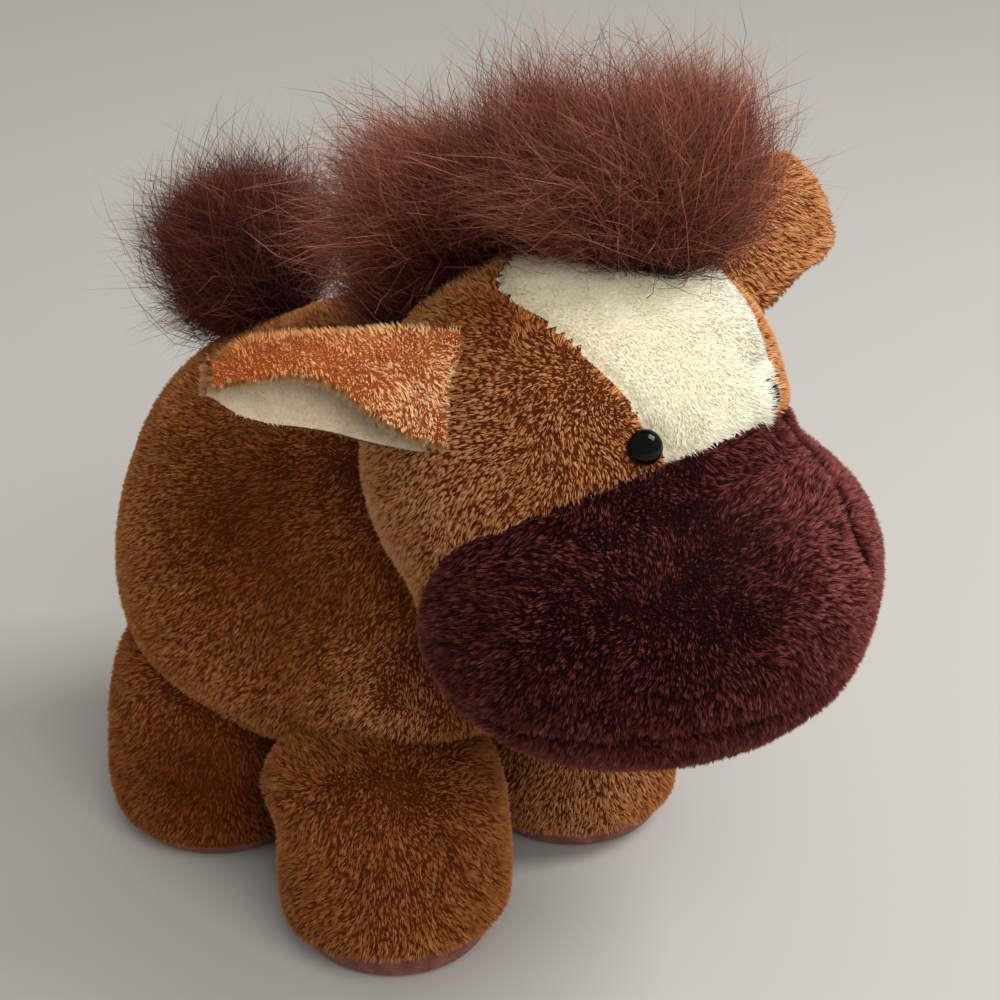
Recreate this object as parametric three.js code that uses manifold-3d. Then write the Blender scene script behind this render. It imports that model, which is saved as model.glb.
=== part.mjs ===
// Plush horse: a stuffed toy with a lobed body, a broad head with a blaze and a dark muzzle,
// four stubby legs on sewn soles, two folded ears, safety eyes, and a mane and tail of long pile.
// Millimetres. +Z is up, the horse faces -Y and its left side is +X. It stands on its four soles.

import * as THREE from 'three';
import { mergeVertices } from 'three/addons/utils/BufferGeometryUtils.js';
import Module from 'manifold-3d';

const wasm = await Module();
wasm.setup();

// Fabric, seams and clearances
const fabric = 1.2;
const clearance = 0.3;
const overrun = 40;

// Body: a rump, a croup above it, a chest and a brisket, each an ellipsoid, placed ahead of the origin
// and up from the floor
const rumpWidth = 94.6;
const rumpLength = 78;
const rumpHeight = 90.2;
const rumpAhead = -30;
const rumpUp = 59;
const croupWidth = 64;
const croupLength = 44;
const croupHeight = 46;
const croupAhead = -42;
const croupUp = 78;
const chestWidth = 73.4;
const chestLength = 82;
const chestHeight = 80.4;
const chestAhead = -9.2;
const chestUp = 75.8;
const brisketWidth = 72;
const brisketLength = 54;
const brisketHeight = 46;
const brisketAhead = 5;
const brisketUp = 55;
const bodyBlend = 3;

// Head: a skull and a muzzle
const skullWidth = 80.8;
const skullLength = 73;
const skullHeight = 74;
const skullAhead = 40.8;
const skullUp = 104.9;
const muzzleWidth = 92;
const muzzleLength = 73;
const muzzleHeight = 56;
const muzzleAhead = 61;
const muzzleUp = 83.6;
const headBlend = 2;
const chinSeamDrop = 8.1;
const neckMargin = 9;

// Half widths of the blaze seen from above, as shares of the skull's half width, and how far ahead of
// the skull's centre each one lies, as shares of its half length. It is sewn a little to the left
const blazeRightWidthShares = [0.26, 0.29, 0.335, 0.37, 0.42, 0.445, 0.45, 0.43, 0.35];
const blazeLeftWidthShares = [0.34, 0.36, 0.41, 0.5, 0.55, 0.58, 0.59, 0.53, 0.35];
const blazeAheadShares = [1.6, 0.9, 0.82, 0.7, 0.54, 0.36, 0.2, 0, -0.16];
const blazeEndShare = -0.36;

// Side view of the seam between the cheeks and the muzzle: ahead of the skull's centre and up from it,
// as shares of its half length and half height, from the bridge of the nose back and down to the jaw
const muzzleSeamAheadShares = [0.93, 0.81, 0.67, 0.5, 0.3, 0.19, 0.08, -0.02, -0.08, -0.1];
const muzzleSeamUpShares = [0.32, 0.25, 0.165, 0.05, -0.07, -0.18, -0.34, -0.56, -0.85, -1.3];

// Safety eyes: a domed button on a ribbed shank, held inside by a washer
const eyeDiameter = 6;
const eyeHeight = 2.8;
const eyeTurn = 36.5;
const eyeRise = 44.5;
const shankDiameter = 2.4;
const shankLength = 8;
const shankRib = 0.35;
const ribCount = 3;
const washerDiameter = 9;
const washerThickness = 1.2;
const washerDish = 0.8;
const washerPlay = 0.6;

// Legs
const legDiameter = 45;
const legHeight = 44;
const legLeanIn = 3;
const legLeanBack = 4;
const footGauge = 56.4;
const frontFootAhead = 20.2;
const frontFootStagger = 6.8;
const rearFootBehind = 36.4;
const soleSeamHeight = 4.4;

// Radius of a leg as shares of its widest one, from the sole up, at shares of its height
const legRadiusShares = [0.76, 0.88, 0.97, 1, 1, 0.94, 0.78, 0.4];
const legHeightShares = [0, 0.05, 0.17, 0.32, 0.55, 0.76, 0.91, 1];

// Ears: a leaf of fabric folded along its top edge, lined, and open below
const earLength = 44.4;
const earDepth = 21;
const earFabric = 0.8;
const earGap = 1.3;
const earFold = 5;
const earTopTurn = 114.7;
const earTopRise = 54.3;
const earLowTurn = 101.4;
const earLowRise = 32.6;
const earRightSweep = 28;
const earRightRise = 9.4;
const earLeftSweep = 4.5;
const earLeftRise = -1;

// Depth of each flap as shares of the ear's depth, and the half opening between them as shares of the
// fold, at even steps from the base to the tip
const earRightFrontShares = [0.97, 0.93, 0.86, 0.7, 0.5, 0.37, 0.33, 0.33, 0.2];
const earRightBackShares = [1, 1, 0.96, 0.88, 0.79, 0.73, 0.67, 0.56, 0.26];
const earLeftFrontShares = [0.95, 1.05, 1.1, 1.12, 1.1, 1.04, 0.95, 0.8, 0.45];
const earLeftBackShares = [0.95, 0.9, 0.84, 0.76, 0.68, 0.6, 0.52, 0.42, 0.26];
const earOpenShares = [0.5, 0.62, 0.8, 0.95, 1, 1, 0.94, 0.82, 0.6];
const earRightRiseShares = [0, 0.02, 0.03, 0.01, 0, 0, -0.03, -0.1, -0.3];
const earLeftRiseShares = [0, 0.2, 0.38, 0.5, 0.56, 0.54, 0.46, 0.3, 0.05];
const earArc = 100;
const earFlop = 20;

// Mane: long pile that fans from the crown over the poll, in two tufts, each an ellipsoid
const forelockWidth = 76;
const forelockLength = 56;
const forelockHeight = 35.5;
const forelockAhead = 39;
const forelockStand = 15;
const pollWidth = 46;
const pollLength = 48;
const pollHeight = 50;
const pollAhead = 13;
const pollStand = -6;
const maneBlend = 3;

// Tail: a pompon of long pile on a narrow root
const tailDiameter = 35;
const tailLength = 36.5;
const tailRootRise = 40;
const tailLean = 30;
const tailGap = 0.8;
const tailSwing = 20;
const tailRadiusShares = [0.3, 0.46, 0.74, 0.94, 1, 0.96, 0.8, 0.52];
const tailLengthShares = [0, 0.1, 0.26, 0.42, 0.58, 0.74, 0.88, 0.97];

// Facets round each form, and from pole to pole. Hidden convex pieces have half as many, in line with
// the others
const bodyFacets = [24, 14];
const headFacets = [28, 16];
const maneFacets = [20, 10];
const legFacets = 16;
const roundFacets = 14;
const hiddenCoarseness = 2;
const domeSteps = 4;
const earRows = 8;
const earColumns = 10;

// Pile and plastic
const plush = (colour) => new THREE.MeshStandardMaterial({ color: colour, roughness: 0.95, metalness: 0 });
const brownPlush = plush(0x93531f);
const darkPlush = plush(0x43191a);
const creamPlush = plush(0xe8dfc2);
const soleSuede = plush(0x5b2a21);
const hairPile = plush(0x4a2620);
const stuffing = plush(0xf2efe6);
const blackGloss = new THREE.MeshStandardMaterial({ color: 0x08080a, roughness: 0.12, metalness: 0 });
const clearPlastic = new THREE.MeshStandardMaterial({ color: 0xdedfdc, roughness: 0.4, metalness: 0 });

const degrees = THREE.MathUtils.degToRad;
const quarterTurn = 90;
const normalStep = 0.02;
const curveSteps = 2;
const mergeTolerance = 1e-4;

function solidOf(geometry) {
  const bare = geometry.clone();
  bare.deleteAttribute('normal');
  bare.deleteAttribute('uv');
  const merged = mergeVertices(bare, mergeTolerance);
  return new wasm.Manifold(new wasm.Mesh({
    numProp: 3,
    vertProperties: new Float32Array(merged.attributes.position.array),
    triVerts: new Uint32Array(merged.index.array),
  }));
}

function meshOf(name, solid, material) {
  const { vertProperties, triVerts } = solid.getMesh();
  const geometry = new THREE.BufferGeometry();
  geometry.setAttribute('position', new THREE.BufferAttribute(new Float32Array(vertProperties), 3));
  geometry.setIndex(new THREE.BufferAttribute(new Uint32Array(triVerts), 1));
  geometry.computeVertexNormals();
  const mesh = new THREE.Mesh(geometry, material);
  mesh.name = name;
  return mesh;
}

// A form is a set of ellipsoid lobes seen from one centre, softly blended where they meet
function makeForm(blend, facets, lobes) {
  const centre = new THREE.Vector3();
  for (const lobe of lobes) centre.addScaledVector(lobe.centre, 1 / lobes.length);
  return { blend, facets, lobes, centre };
}

function makeLobe(width, length, height, ahead, up) {
  return {
    centre: new THREE.Vector3(0, -ahead, up),
    half: new THREE.Vector3(width / 2, length / 2, height / 2),
  };
}

function lobeReach(origin, direction, lobe, inset) {
  const half = lobe.half.clone().subScalar(inset);
  const from = origin.clone().sub(lobe.centre).divide(half);
  const step = direction.clone().divide(half);
  const a = step.lengthSq();
  const b = step.dot(from);
  const c = from.lengthSq() - 1;
  return (Math.sqrt(Math.max(b * b - a * c, 0)) - b) / a;
}

// The smooth maximum of the lobes' reaches from the form's centre
function formReach(form, direction, inset) {
  const reaches = form.lobes.map((lobe) => lobeReach(form.centre, direction, lobe, inset));
  const farthest = Math.max(...reaches);
  const sum = reaches.reduce((total, reach) => total + Math.exp((reach - farthest) / form.blend), 0);
  return farthest + form.blend * Math.log(sum);
}

function formGeometry(form, inset = 0, coarseness = 1) {
  const [around, rings] = form.facets.map((count) => count / coarseness);
  const geometry = new THREE.SphereGeometry(1, around, rings).rotateX(Math.PI / 2);
  const points = geometry.attributes.position;
  const point = new THREE.Vector3();
  for (let i = 0; i < points.count; i++) {
    point.fromBufferAttribute(points, i).normalize();
    point.multiplyScalar(formReach(form, point, inset)).add(form.centre);
    points.setXYZ(i, point.x, point.y, point.z);
  }
  return geometry;
}

const formSolid = (...options) => solidOf(formGeometry(...options));

// Cuts a hinged piece clear of the form that it is sewn to, at rest and at both ends of its swing
function swungClear(solid, form, gap, hinge, axis, swing) {
  let clear = solid;
  for (const angle of [-swing, 0, swing]) {
    const room = formGeometry(form, -gap).translate(-hinge.x, -hinge.y, -hinge.z);
    room.applyMatrix4(new THREE.Matrix4().makeRotationAxis(axis, degrees(angle)));
    clear = clear.subtract(solidOf(room.translate(hinge.x, hinge.y, hinge.z)));
  }
  return clear;
}

// Unit vector by its turn from straight ahead towards the side, and its rise above level
function heading(side, turn, rise) {
  const level = Math.cos(degrees(rise));
  return new THREE.Vector3(
    side * level * Math.sin(degrees(turn)),
    -level * Math.cos(degrees(turn)),
    Math.sin(degrees(rise)),
  );
}

// Point on a form's surface along a heading, and the outward normal there
function surfaceAt(form, direction) {
  const at = (way) => way.clone().multiplyScalar(formReach(form, way, 0)).add(form.centre);
  const across = new THREE.Vector3(0, 0, 1).cross(direction).normalize();
  const along = direction.clone().cross(across);
  const nudged = (way) => at(direction.clone().addScaledVector(way, normalStep).normalize());
  const point = at(direction);
  const normal = nudged(across).sub(point).cross(nudged(along).sub(point)).normalize();
  return { point, normal };
}

// Turns a lathe made up +Z so that +Z points along the normal, and moves its foot to the point
function seated(geometry, point, normal) {
  const turn = new THREE.Quaternion().setFromUnitVectors(new THREE.Vector3(0, 0, 1), normal);
  return geometry.applyQuaternion(turn).translate(point.x, point.y, point.z);
}

function lathe(profile, facets) {
  const points = profile.map(([radius, height]) => new THREE.Vector2(radius, height));
  return new THREE.LatheGeometry(points, facets).rotateX(Math.PI / 2);
}

// Outline in the plane of two axes, extruded right through along the third
function prismAlongZ(outline, low, high) {
  const shape = new THREE.Shape(outline);
  const geometry = new THREE.ExtrudeGeometry(shape, { depth: high - low, bevelEnabled: false });
  return solidOf(geometry.translate(0, 0, low));
}

function prismAlongX(outline, halfWidth) {
  const shape = new THREE.Shape(outline);
  const geometry = new THREE.ExtrudeGeometry(shape, { depth: 2 * halfWidth, bevelEnabled: false });
  // The outline holds (ahead, up): ahead turns to -Y and the extrusion to X
  const axes = new THREE.Matrix4().makeBasis(
    new THREE.Vector3(0, -1, 0), new THREE.Vector3(0, 0, 1), new THREE.Vector3(-1, 0, 0),
  );
  return solidOf(geometry.translate(0, 0, -halfWidth).applyMatrix4(axes));
}

function sideOf(side) {
  const size = rumpWidth + skullWidth + muzzleWidth;
  const geometry = new THREE.BoxGeometry(size, 2 * size, 2 * size);
  return solidOf(geometry.translate(side * (size / 2 + clearance / 2), 0, 0));
}

const bodyForm = makeForm(bodyBlend, bodyFacets, [
  makeLobe(rumpWidth, rumpLength, rumpHeight, rumpAhead, rumpUp),
  makeLobe(croupWidth, croupLength, croupHeight, croupAhead, croupUp),
  makeLobe(chestWidth, chestLength, chestHeight, chestAhead, chestUp),
  makeLobe(brisketWidth, brisketLength, brisketHeight, brisketAhead, brisketUp),
]);
const headForm = makeForm(headBlend, headFacets, [
  makeLobe(skullWidth, skullLength, skullHeight, skullAhead, skullUp),
  makeLobe(muzzleWidth, muzzleLength, muzzleHeight, muzzleAhead, muzzleUp),
]);
const crownUp = skullUp + skullHeight / 2;
const maneForm = makeForm(maneBlend, maneFacets, [
  makeLobe(forelockWidth, forelockLength, forelockHeight, forelockAhead, crownUp + forelockStand),
  makeLobe(pollWidth, pollLength, pollHeight, pollAhead, crownUp + pollStand),
]);

const bodySkin = formSolid(bodyForm);
const bodyRoom = formSolid(bodyForm, -clearance);
const headSkin = formSolid(headForm);
const headRoom = formSolid(headForm, -clearance);

function makeBody() {
  const shell = bodySkin.subtract(formSolid(bodyForm, fabric)).subtract(headRoom);
  const fill = formSolid(bodyForm, fabric + clearance).subtract(headRoom);
  return [
    meshOf('body_left_cover', shell.intersect(sideOf(1)), brownPlush),
    meshOf('body_right_cover', shell.intersect(sideOf(-1)), brownPlush),
    meshOf('body_stuffing', fill, stuffing),
  ];
}

// Zone of the blaze, seen from above, wider by the margin all round
function blazeZone(margin) {
  const place = (widthShare, aheadShare, side) => new THREE.Vector2(
    side * (widthShare * skullWidth / 2 + margin),
    -(skullAhead + aheadShare * skullLength / 2),
  );
  const tip = place(0, blazeEndShare, 0).add(new THREE.Vector2(0, margin));
  const edge = (shares, side) => {
    const points = shares.map((share, i) => place(share, blazeAheadShares[i], side));
    return new THREE.SplineCurve([...points, tip]).getPoints(curveSteps * shares.length);
  };
  const right = edge(blazeRightWidthShares, -1).reverse().slice(1);
  const outline = [...edge(blazeLeftWidthShares, 1), ...right];
  return prismAlongZ(outline, skullUp - muzzleHeight / 2, crownUp + overrun);
}

// Zone of the muzzle, seen from the side: ahead of and below its seam, larger by the margin
function muzzleZone(margin) {
  const seam = muzzleSeamAheadShares.map((share, i) => new THREE.Vector2(
    skullAhead + share * skullLength / 2,
    skullUp + muzzleSeamUpShares[i] * skullHeight / 2,
  ));
  const line = new THREE.SplineCurve(seam).getPoints(curveSteps * seam.length);
  const grown = line.map((point, i) => {
    const run = line[Math.min(i + 1, line.length - 1)].clone().sub(line[Math.max(i - 1, 0)]).normalize();
    return new THREE.Vector2(point.x + run.y * margin, point.y - run.x * margin);
  });
  const front = muzzleAhead + muzzleLength / 2 + overrun;
  const floor = muzzleUp - muzzleHeight / 2 - overrun;
  const bridge = grown[0];
  return prismAlongX([
    new THREE.Vector2(front, floor),
    new THREE.Vector2(front, bridge.y + (front - bridge.x) * muzzleBridgeSlope()),
    ...grown,
    new THREE.Vector2(grown[grown.length - 1].x, floor),
  ], muzzleWidth);
}

// The seam runs straight on over the bridge of the nose
function muzzleBridgeSlope() {
  const up = (muzzleSeamUpShares[0] - muzzleSeamUpShares[1]) * skullHeight;
  const ahead = (muzzleSeamAheadShares[0] - muzzleSeamAheadShares[1]) * skullLength;
  return up / ahead;
}

function chinZone(margin) {
  const seamUp = muzzleUp - chinSeamDrop + margin;
  const floor = muzzleUp - muzzleHeight / 2 - overrun;
  const front = muzzleAhead + muzzleLength / 2 + overrun;
  return prismAlongX([
    new THREE.Vector2(-front, floor),
    new THREE.Vector2(front, floor),
    new THREE.Vector2(front, seamUp),
    new THREE.Vector2(-front, seamUp),
  ], muzzleWidth);
}

const eyeSeats = [-1, 1].map((side) => ({ side, ...surfaceAt(headForm, heading(side, eyeTurn, eyeRise)) }));

// Space that an eye's dome, shank and washer take, with the clearance round them
function eyeRoom(seat) {
  const bore = shankDiameter / 2 + clearance;
  const washer = washerDiameter / 2 + clearance;
  const dome = eyeDiameter / 2 + clearance;
  const domeFoot = clearance / 2;
  const domeTop = clearance + eyeHeight + clearance;
  const washerTop = -fabric;
  const washerFoot = washerTop - washerPlay - washerThickness - washerDish - clearance;
  const end = -shankLength - clearance;
  const profile = [[0, end], [bore, end], [bore, washerFoot], [washer, washerFoot], [washer, washerTop],
    [bore, washerTop], [bore, domeFoot], [dome, domeFoot], [dome, domeTop], [0, domeTop]];
  return solidOf(seated(lathe(profile, roundFacets), seat.point, seat.normal));
}

function makeHead() {
  let shell = headSkin.subtract(formSolid(headForm, fabric));
  let fill = formSolid(headForm, fabric + clearance);
  for (const seat of eyeSeats) {
    shell = shell.subtract(eyeRoom(seat));
    fill = fill.subtract(eyeRoom(seat));
  }
  shell = shell.subtract(formSolid(bodyForm, neckMargin, hiddenCoarseness));
  const brow = shell.subtract(muzzleZone(clearance));
  const snout = shell.intersect(muzzleZone(0));
  const cheeks = brow.subtract(blazeZone(clearance));
  return [
    meshOf('head_left_cover', cheeks.intersect(sideOf(1)), brownPlush),
    meshOf('head_right_cover', cheeks.intersect(sideOf(-1)), brownPlush),
    meshOf('blaze', brow.intersect(blazeZone(0)), creamPlush),
    meshOf('muzzle_cover', snout.subtract(chinZone(clearance)), darkPlush),
    meshOf('chin_cover', snout.intersect(chinZone(0)), darkPlush),
    meshOf('head_stuffing', fill, stuffing),
  ];
}

function makeEyes() {
  const meshes = [];
  for (const seat of eyeSeats) {
    const radius = eyeDiameter / 2;
    const shank = shankDiameter / 2;
    const dome = [];
    for (let i = 0; i <= domeSteps; i++) {
      const angle = (i / domeSteps) * (Math.PI / 2);
      dome.push([radius * Math.cos(angle), clearance + eyeHeight * Math.sin(angle)]);
    }
    const ribs = [];
    const ribPitch = (shankLength - fabric - washerThickness - washerDish) / (ribCount + 1);
    const ribWidth = ribPitch / 2;
    for (let i = ribCount; i > 0; i--) {
      const foot = -fabric - washerThickness - washerDish - i * ribPitch;
      ribs.push([shank - shankRib, foot], [shank, foot + ribWidth]);
    }
    const profile = [[0, -shankLength], [shank - shankRib, -shankLength], ...ribs,
      [shank - shankRib, -fabric - clearance], [shank - shankRib, clearance], ...dome];
    profile[profile.length - 1][0] = 0;
    const name = seat.side > 0 ? 'left' : 'right';
    const button = solidOf(seated(lathe(profile, roundFacets), seat.point, seat.normal));
    meshes.push(meshOf(`eye_${name}`, button, blackGloss));

    const bore = shank + clearance;
    const rim = washerDiameter / 2;
    const top = -fabric - clearance;
    const foot = top - washerThickness - washerDish;
    const washer = [[bore, foot], [rim - washerDish, foot], [rim, top - washerThickness],
      [rim, top - washerDish], [bore + washerDish, top], [bore, top], [bore, foot]];
    const ring = solidOf(seated(lathe(washer, roundFacets), seat.point, seat.normal));
    meshes.push(meshOf(`eye_washer_${name}`, ring, clearPlastic));
  }
  return meshes;
}

// A leg is a lathe whose sections stay level while its axis leans in and back
function legSolid(side, ahead, inset, coarseness = 1) {
  const widest = legDiameter / 2;
  const height = legHeight - 2 * inset;
  const profile = legRadiusShares.map((share, i) => [
    share * widest - inset,
    inset + legHeightShares[i] * height,
  ]);
  const geometry = lathe([[0, inset], ...profile, [0, inset + height]], legFacets / coarseness);
  const lean = new THREE.Matrix4().makeBasis(
    new THREE.Vector3(1, 0, 0),
    new THREE.Vector3(0, 1, 0),
    new THREE.Vector3(-side * legLeanIn / legHeight, legLeanBack / legHeight, 1),
  );
  return solidOf(geometry.applyMatrix4(lean).translate(side * footGauge / 2, -ahead, 0));
}

function soleSlab(height) {
  const size = 2 * (rumpLength + skullLength + muzzleLength);
  return solidOf(new THREE.BoxGeometry(size, size, 2 * height));
}

function makeLegs() {
  const feet = [
    ['front_left', 1, frontFootAhead - frontFootStagger],
    ['front_right', -1, frontFootAhead],
    ['rear_left', 1, -rearFootBehind],
    ['rear_right', -1, -rearFootBehind],
  ];
  const meshes = [];
  for (const [name, side, ahead] of feet) {
    const shell = legSolid(side, ahead, 0).subtract(legSolid(side, ahead, fabric));
    const cover = shell.subtract(bodyRoom).subtract(headRoom).subtract(soleSlab(soleSeamHeight + clearance));
    const fill = legSolid(side, ahead, fabric + clearance, hiddenCoarseness).subtract(bodyRoom);
    meshes.push(
      meshOf(`${name}_leg_cover`, cover, brownPlush),
      meshOf(`${name}_leg_stuffing`, fill, stuffing),
      meshOf(`${name}_sole`, shell.intersect(soleSlab(soleSeamHeight)), soleSuede),
    );
  }
  return meshes;
}

// Value of a list of even shares at a place from 0 to 1
function shareAt(shares, place) {
  const step = place * (shares.length - 1);
  const low = Math.min(Math.floor(step), shares.length - 2);
  return THREE.MathUtils.lerp(shares[low], shares[low + 1], step - low);
}

// One layer of an ear: a sheet between two depths below the ear's outer surface
function earLayer(ear, outerDepth, innerDepth) {
  const arc = degrees(earArc);
  const point = (place, across, depth) => {
    const shares = across < 0 ? ear.frontShares : ear.backShares;
    const angle = Math.abs(across) * arc;
    const flap = shareAt(shares, place) * earDepth - depth;
    const turned = (1 - Math.cos(angle)) / (1 - Math.cos(arc));
    const down = depth - shareAt(ear.riseShares, place) * earDepth + flap * turned;
    const open = (shareAt(earOpenShares, place) * earFold - depth) * Math.sin(angle);
    return ear.root.clone()
      .addScaledVector(ear.along, earGap + place * (earLength - earGap))
      .addScaledVector(ear.down, down)
      .addScaledVector(ear.front, across < 0 ? open : -open);
  };
  const positions = [];
  for (const depth of [outerDepth, innerDepth]) {
    for (let row = 0; row < earRows; row++) {
      for (let column = 0; column <= earColumns; column++) {
        const across = 2 * column / earColumns - 1;
        positions.push(...point(row / (earRows - 1), across, depth));
      }
    }
  }
  return sheetSolid(positions, earRows, earColumns + 1, ear.side);
}

// Closes two grids of points, one behind the other, into one sheet
function sheetSolid(positions, rows, columns, hand) {
  const count = rows * columns;
  const faces = [];
  const quad = (a, b, c, d) => {
    if (hand < 0) faces.push(a, b, c, a, c, d);
    else faces.push(a, c, b, a, d, c);
  };
  const at = (row, column) => row * columns + column;
  for (let row = 0; row + 1 < rows; row++) {
    for (let column = 0; column + 1 < columns; column++) {
      const corners = [at(row, column), at(row, column + 1), at(row + 1, column + 1), at(row + 1, column)];
      quad(...corners);
      quad(...corners.reverse().map((corner) => corner + count));
    }
  }
  const rim = [];
  for (let column = 0; column < columns; column++) rim.push(at(0, column));
  for (let row = 1; row < rows; row++) rim.push(at(row, columns - 1));
  for (let column = columns - 2; column >= 0; column--) rim.push(at(rows - 1, column));
  for (let row = rows - 2; row > 0; row--) rim.push(at(row, 0));
  rim.forEach((corner, i) => {
    const next = rim[(i + 1) % rim.length];
    quad(next, corner, corner + count, next + count);
  });
  const geometry = new THREE.BufferGeometry();
  geometry.setAttribute('position', new THREE.Float32BufferAttribute(positions, 3));
  geometry.setIndex(faces);
  return solidOf(geometry);
}

function makeEars() {
  const ears = [
    { name: 'left', side: 1, sweep: earLeftSweep, rise: earLeftRise,
      frontShares: earLeftFrontShares, backShares: earLeftBackShares, riseShares: earLeftRiseShares },
    { name: 'right', side: -1, sweep: earRightSweep, rise: earRightRise,
      frontShares: earRightFrontShares, backShares: earRightBackShares, riseShares: earRightRiseShares },
  ];
  const meshes = [];
  for (const ear of ears) {
    ear.root = surfaceAt(headForm, heading(ear.side, earTopTurn, earTopRise)).point;
    const low = surfaceAt(headForm, heading(ear.side, earLowTurn, earLowRise)).point;
    ear.along = heading(ear.side, quarterTurn + ear.sweep, ear.rise);
    const hinge = ear.root.clone().add(low).divideScalar(2);
    const seamLine = low.clone().sub(ear.root).normalize();
    ear.down = seamLine.clone().projectOnPlane(ear.along).normalize();
    ear.front = ear.down.clone().cross(ear.along).multiplyScalar(ear.side);
    const trimmed = (layer) => swungClear(layer, headForm, clearance, hinge, seamLine, earFlop);
    const outer = earLayer(ear, 0, earFabric);
    const lining = earLayer(ear, earFabric + clearance, 2 * earFabric + clearance);
    meshes.push(
      meshOf(`ear_${ear.name}_outer`, trimmed(outer), brownPlush),
      meshOf(`ear_${ear.name}_lining`, trimmed(lining), creamPlush),
    );
  }
  return meshes;
}

function makeMane() {
  return meshOf('mane', formSolid(maneForm).subtract(headRoom).subtract(bodyRoom), hairPile);
}

function makeTail() {
  const seat = surfaceAt(bodyForm, heading(0, 2 * quarterTurn, quarterTurn - tailRootRise));
  const profile = tailRadiusShares.map((share, i) => [
    share * tailDiameter / 2,
    tailLengthShares[i] * tailLength,
  ]);
  const geometry = lathe([[0, 0], ...profile, [0, tailLength]], roundFacets);
  const axis = heading(0, 2 * quarterTurn, quarterTurn - tailLean);
  const tuft = solidOf(seated(geometry, seat.point, axis));
  const acrossBody = new THREE.Vector3(1, 0, 0);
  return meshOf('tail', swungClear(tuft, bodyForm, tailGap, seat.point, acrossBody, tailSwing), hairPile);
}

const pieces = new THREE.Group();
pieces.add(...makeBody(), ...makeHead(), ...makeEyes(), ...makeLegs(), ...makeEars(), makeMane(), makeTail());

// The origin is on the floor and in the plane of symmetry, midway from the muzzle to the tail
const box = new THREE.Box3().setFromObject(pieces);
const middle = box.getCenter(new THREE.Vector3());
pieces.position.set(0, -middle.y, -box.min.z);
const horse = new THREE.Group();
horse.add(pieces);

export default horse;
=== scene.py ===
"""Looks of the plush horse: short tufted pile over sewn panels, long fibres on the mane and tail.

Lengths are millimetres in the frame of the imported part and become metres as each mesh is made.
"""

import math
from itertools import product

import bmesh
import bpy
import numpy as np
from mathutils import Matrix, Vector


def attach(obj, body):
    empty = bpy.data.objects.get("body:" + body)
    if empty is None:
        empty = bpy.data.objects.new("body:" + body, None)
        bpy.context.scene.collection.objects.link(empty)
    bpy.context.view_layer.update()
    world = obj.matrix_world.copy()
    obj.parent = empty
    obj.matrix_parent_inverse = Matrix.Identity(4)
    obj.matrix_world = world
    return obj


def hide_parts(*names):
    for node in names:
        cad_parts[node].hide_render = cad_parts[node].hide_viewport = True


MM = 0.001
SET_BACK = 10.421  # the forms' own origin stands this far behind the frame's
SEED = 41

# Forms: width, length, height, ahead, up of each lobe, and how softly they blend
RUMP = (94.6, 78.0, 90.2, -30.0, 59.0)
CROUP = (64.0, 44.0, 46.0, -42.0, 78.0)
CHEST = (73.4, 82.0, 80.4, -9.2, 75.8)
BRISKET = (72.0, 54.0, 46.0, 5.0, 55.0)
SKULL = (80.8, 73.0, 74.0, 40.8, 104.9)
MUZZLE = (92.0, 73.0, 56.0, 61.0, 83.6)
BODY_BLEND, HEAD_BLEND = 3.0, 2.0

# Panels of the head, as shares of the skull's half sizes
BLAZE_WIDTHS = {
    "right": (0.26, 0.29, 0.335, 0.37, 0.42, 0.445, 0.45, 0.43, 0.35, 0.0),
    "left": (0.34, 0.36, 0.42, 0.52, 0.58, 0.61, 0.62, 0.55, 0.35, 0.0),
}
BLAZE_AHEADS = (1.6, 0.9, 0.82, 0.7, 0.54, 0.36, 0.2, 0.0, -0.16, -0.36)
SEAM_AHEADS = (0.93, 0.81, 0.67, 0.5, 0.3, 0.19, 0.08, -0.02, -0.08, -0.1)
SEAM_UPS = (0.32, 0.25, 0.165, 0.05, -0.07, -0.18, -0.34, -0.56, -0.85, -1.3)
CHIN_SEAM_UP = 75.5
BLAZE_LOW = 28.4  # how far below the skull's middle the blaze ends
LEFT_CHEEK, RIGHT_CHEEK, BLAZE, SNOUT, CHIN = range(5)

# Seams and dimples pressed into the covers: depth and width
BODY_SEAM, LEG_SEAM, LEG_PINCH = (0.5, 1.0), (1.3, 2.2), (1.0, 2.0)
SNOUT_SEAM, BLAZE_SEAM, CHIN_SEAM, EYE_DIMPLE = (0.6, 1.3), (0.8, 1.2), (0.9, 1.1), (1.0, 4.5)

# The dart beside the far nostril: its groove, and the ridge that stands inside it
DART_LINE = ((21.5, 113.5), (26.6, 106.4), (25.6, 103.4), (22.2, 99.1), (21.5, 96.0), (22.6, 90.6))
DART_GROOVE, DART_RIDGE, DART_SHIFT = (2.0, 1.7), (-0.8, 3.0), (5.0, 1.0)
# Painted shade along the dart's groove: its width, how much darker the pile is drawn, and how much
# shorter
DART_SHADE, DART_DARKER, DART_SHORTER = 1.1, 2.4, 0.5

# How deep inside a neighbour the skins and the fibres end
SKIN_INSIDE, HEAD_INSIDE, PILE_INSIDE, EAR_OUTSIDE = 3.0, 5.0, 0.9, 0.2

# Eyes: the stem's radii and heights, from the end of the shank to the dome
EYE_RADIUS, EYE_HEIGHT, EYE_TURN, EYE_RISE, EYE_SUNK = 3.1, 2.8, 36.5, 44.5, 0.5
EYE_STEM = ((0.0, -8.0), (1.2, -8.0), (1.2, 0.3), (2.7, 0.3), (2.92, 0.38), (3.0, 0.6))
EYE_CLEAR, LASH_REACH, LASH_WAY = 0.1, 6, (0.6, 0, 0.2)

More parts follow.
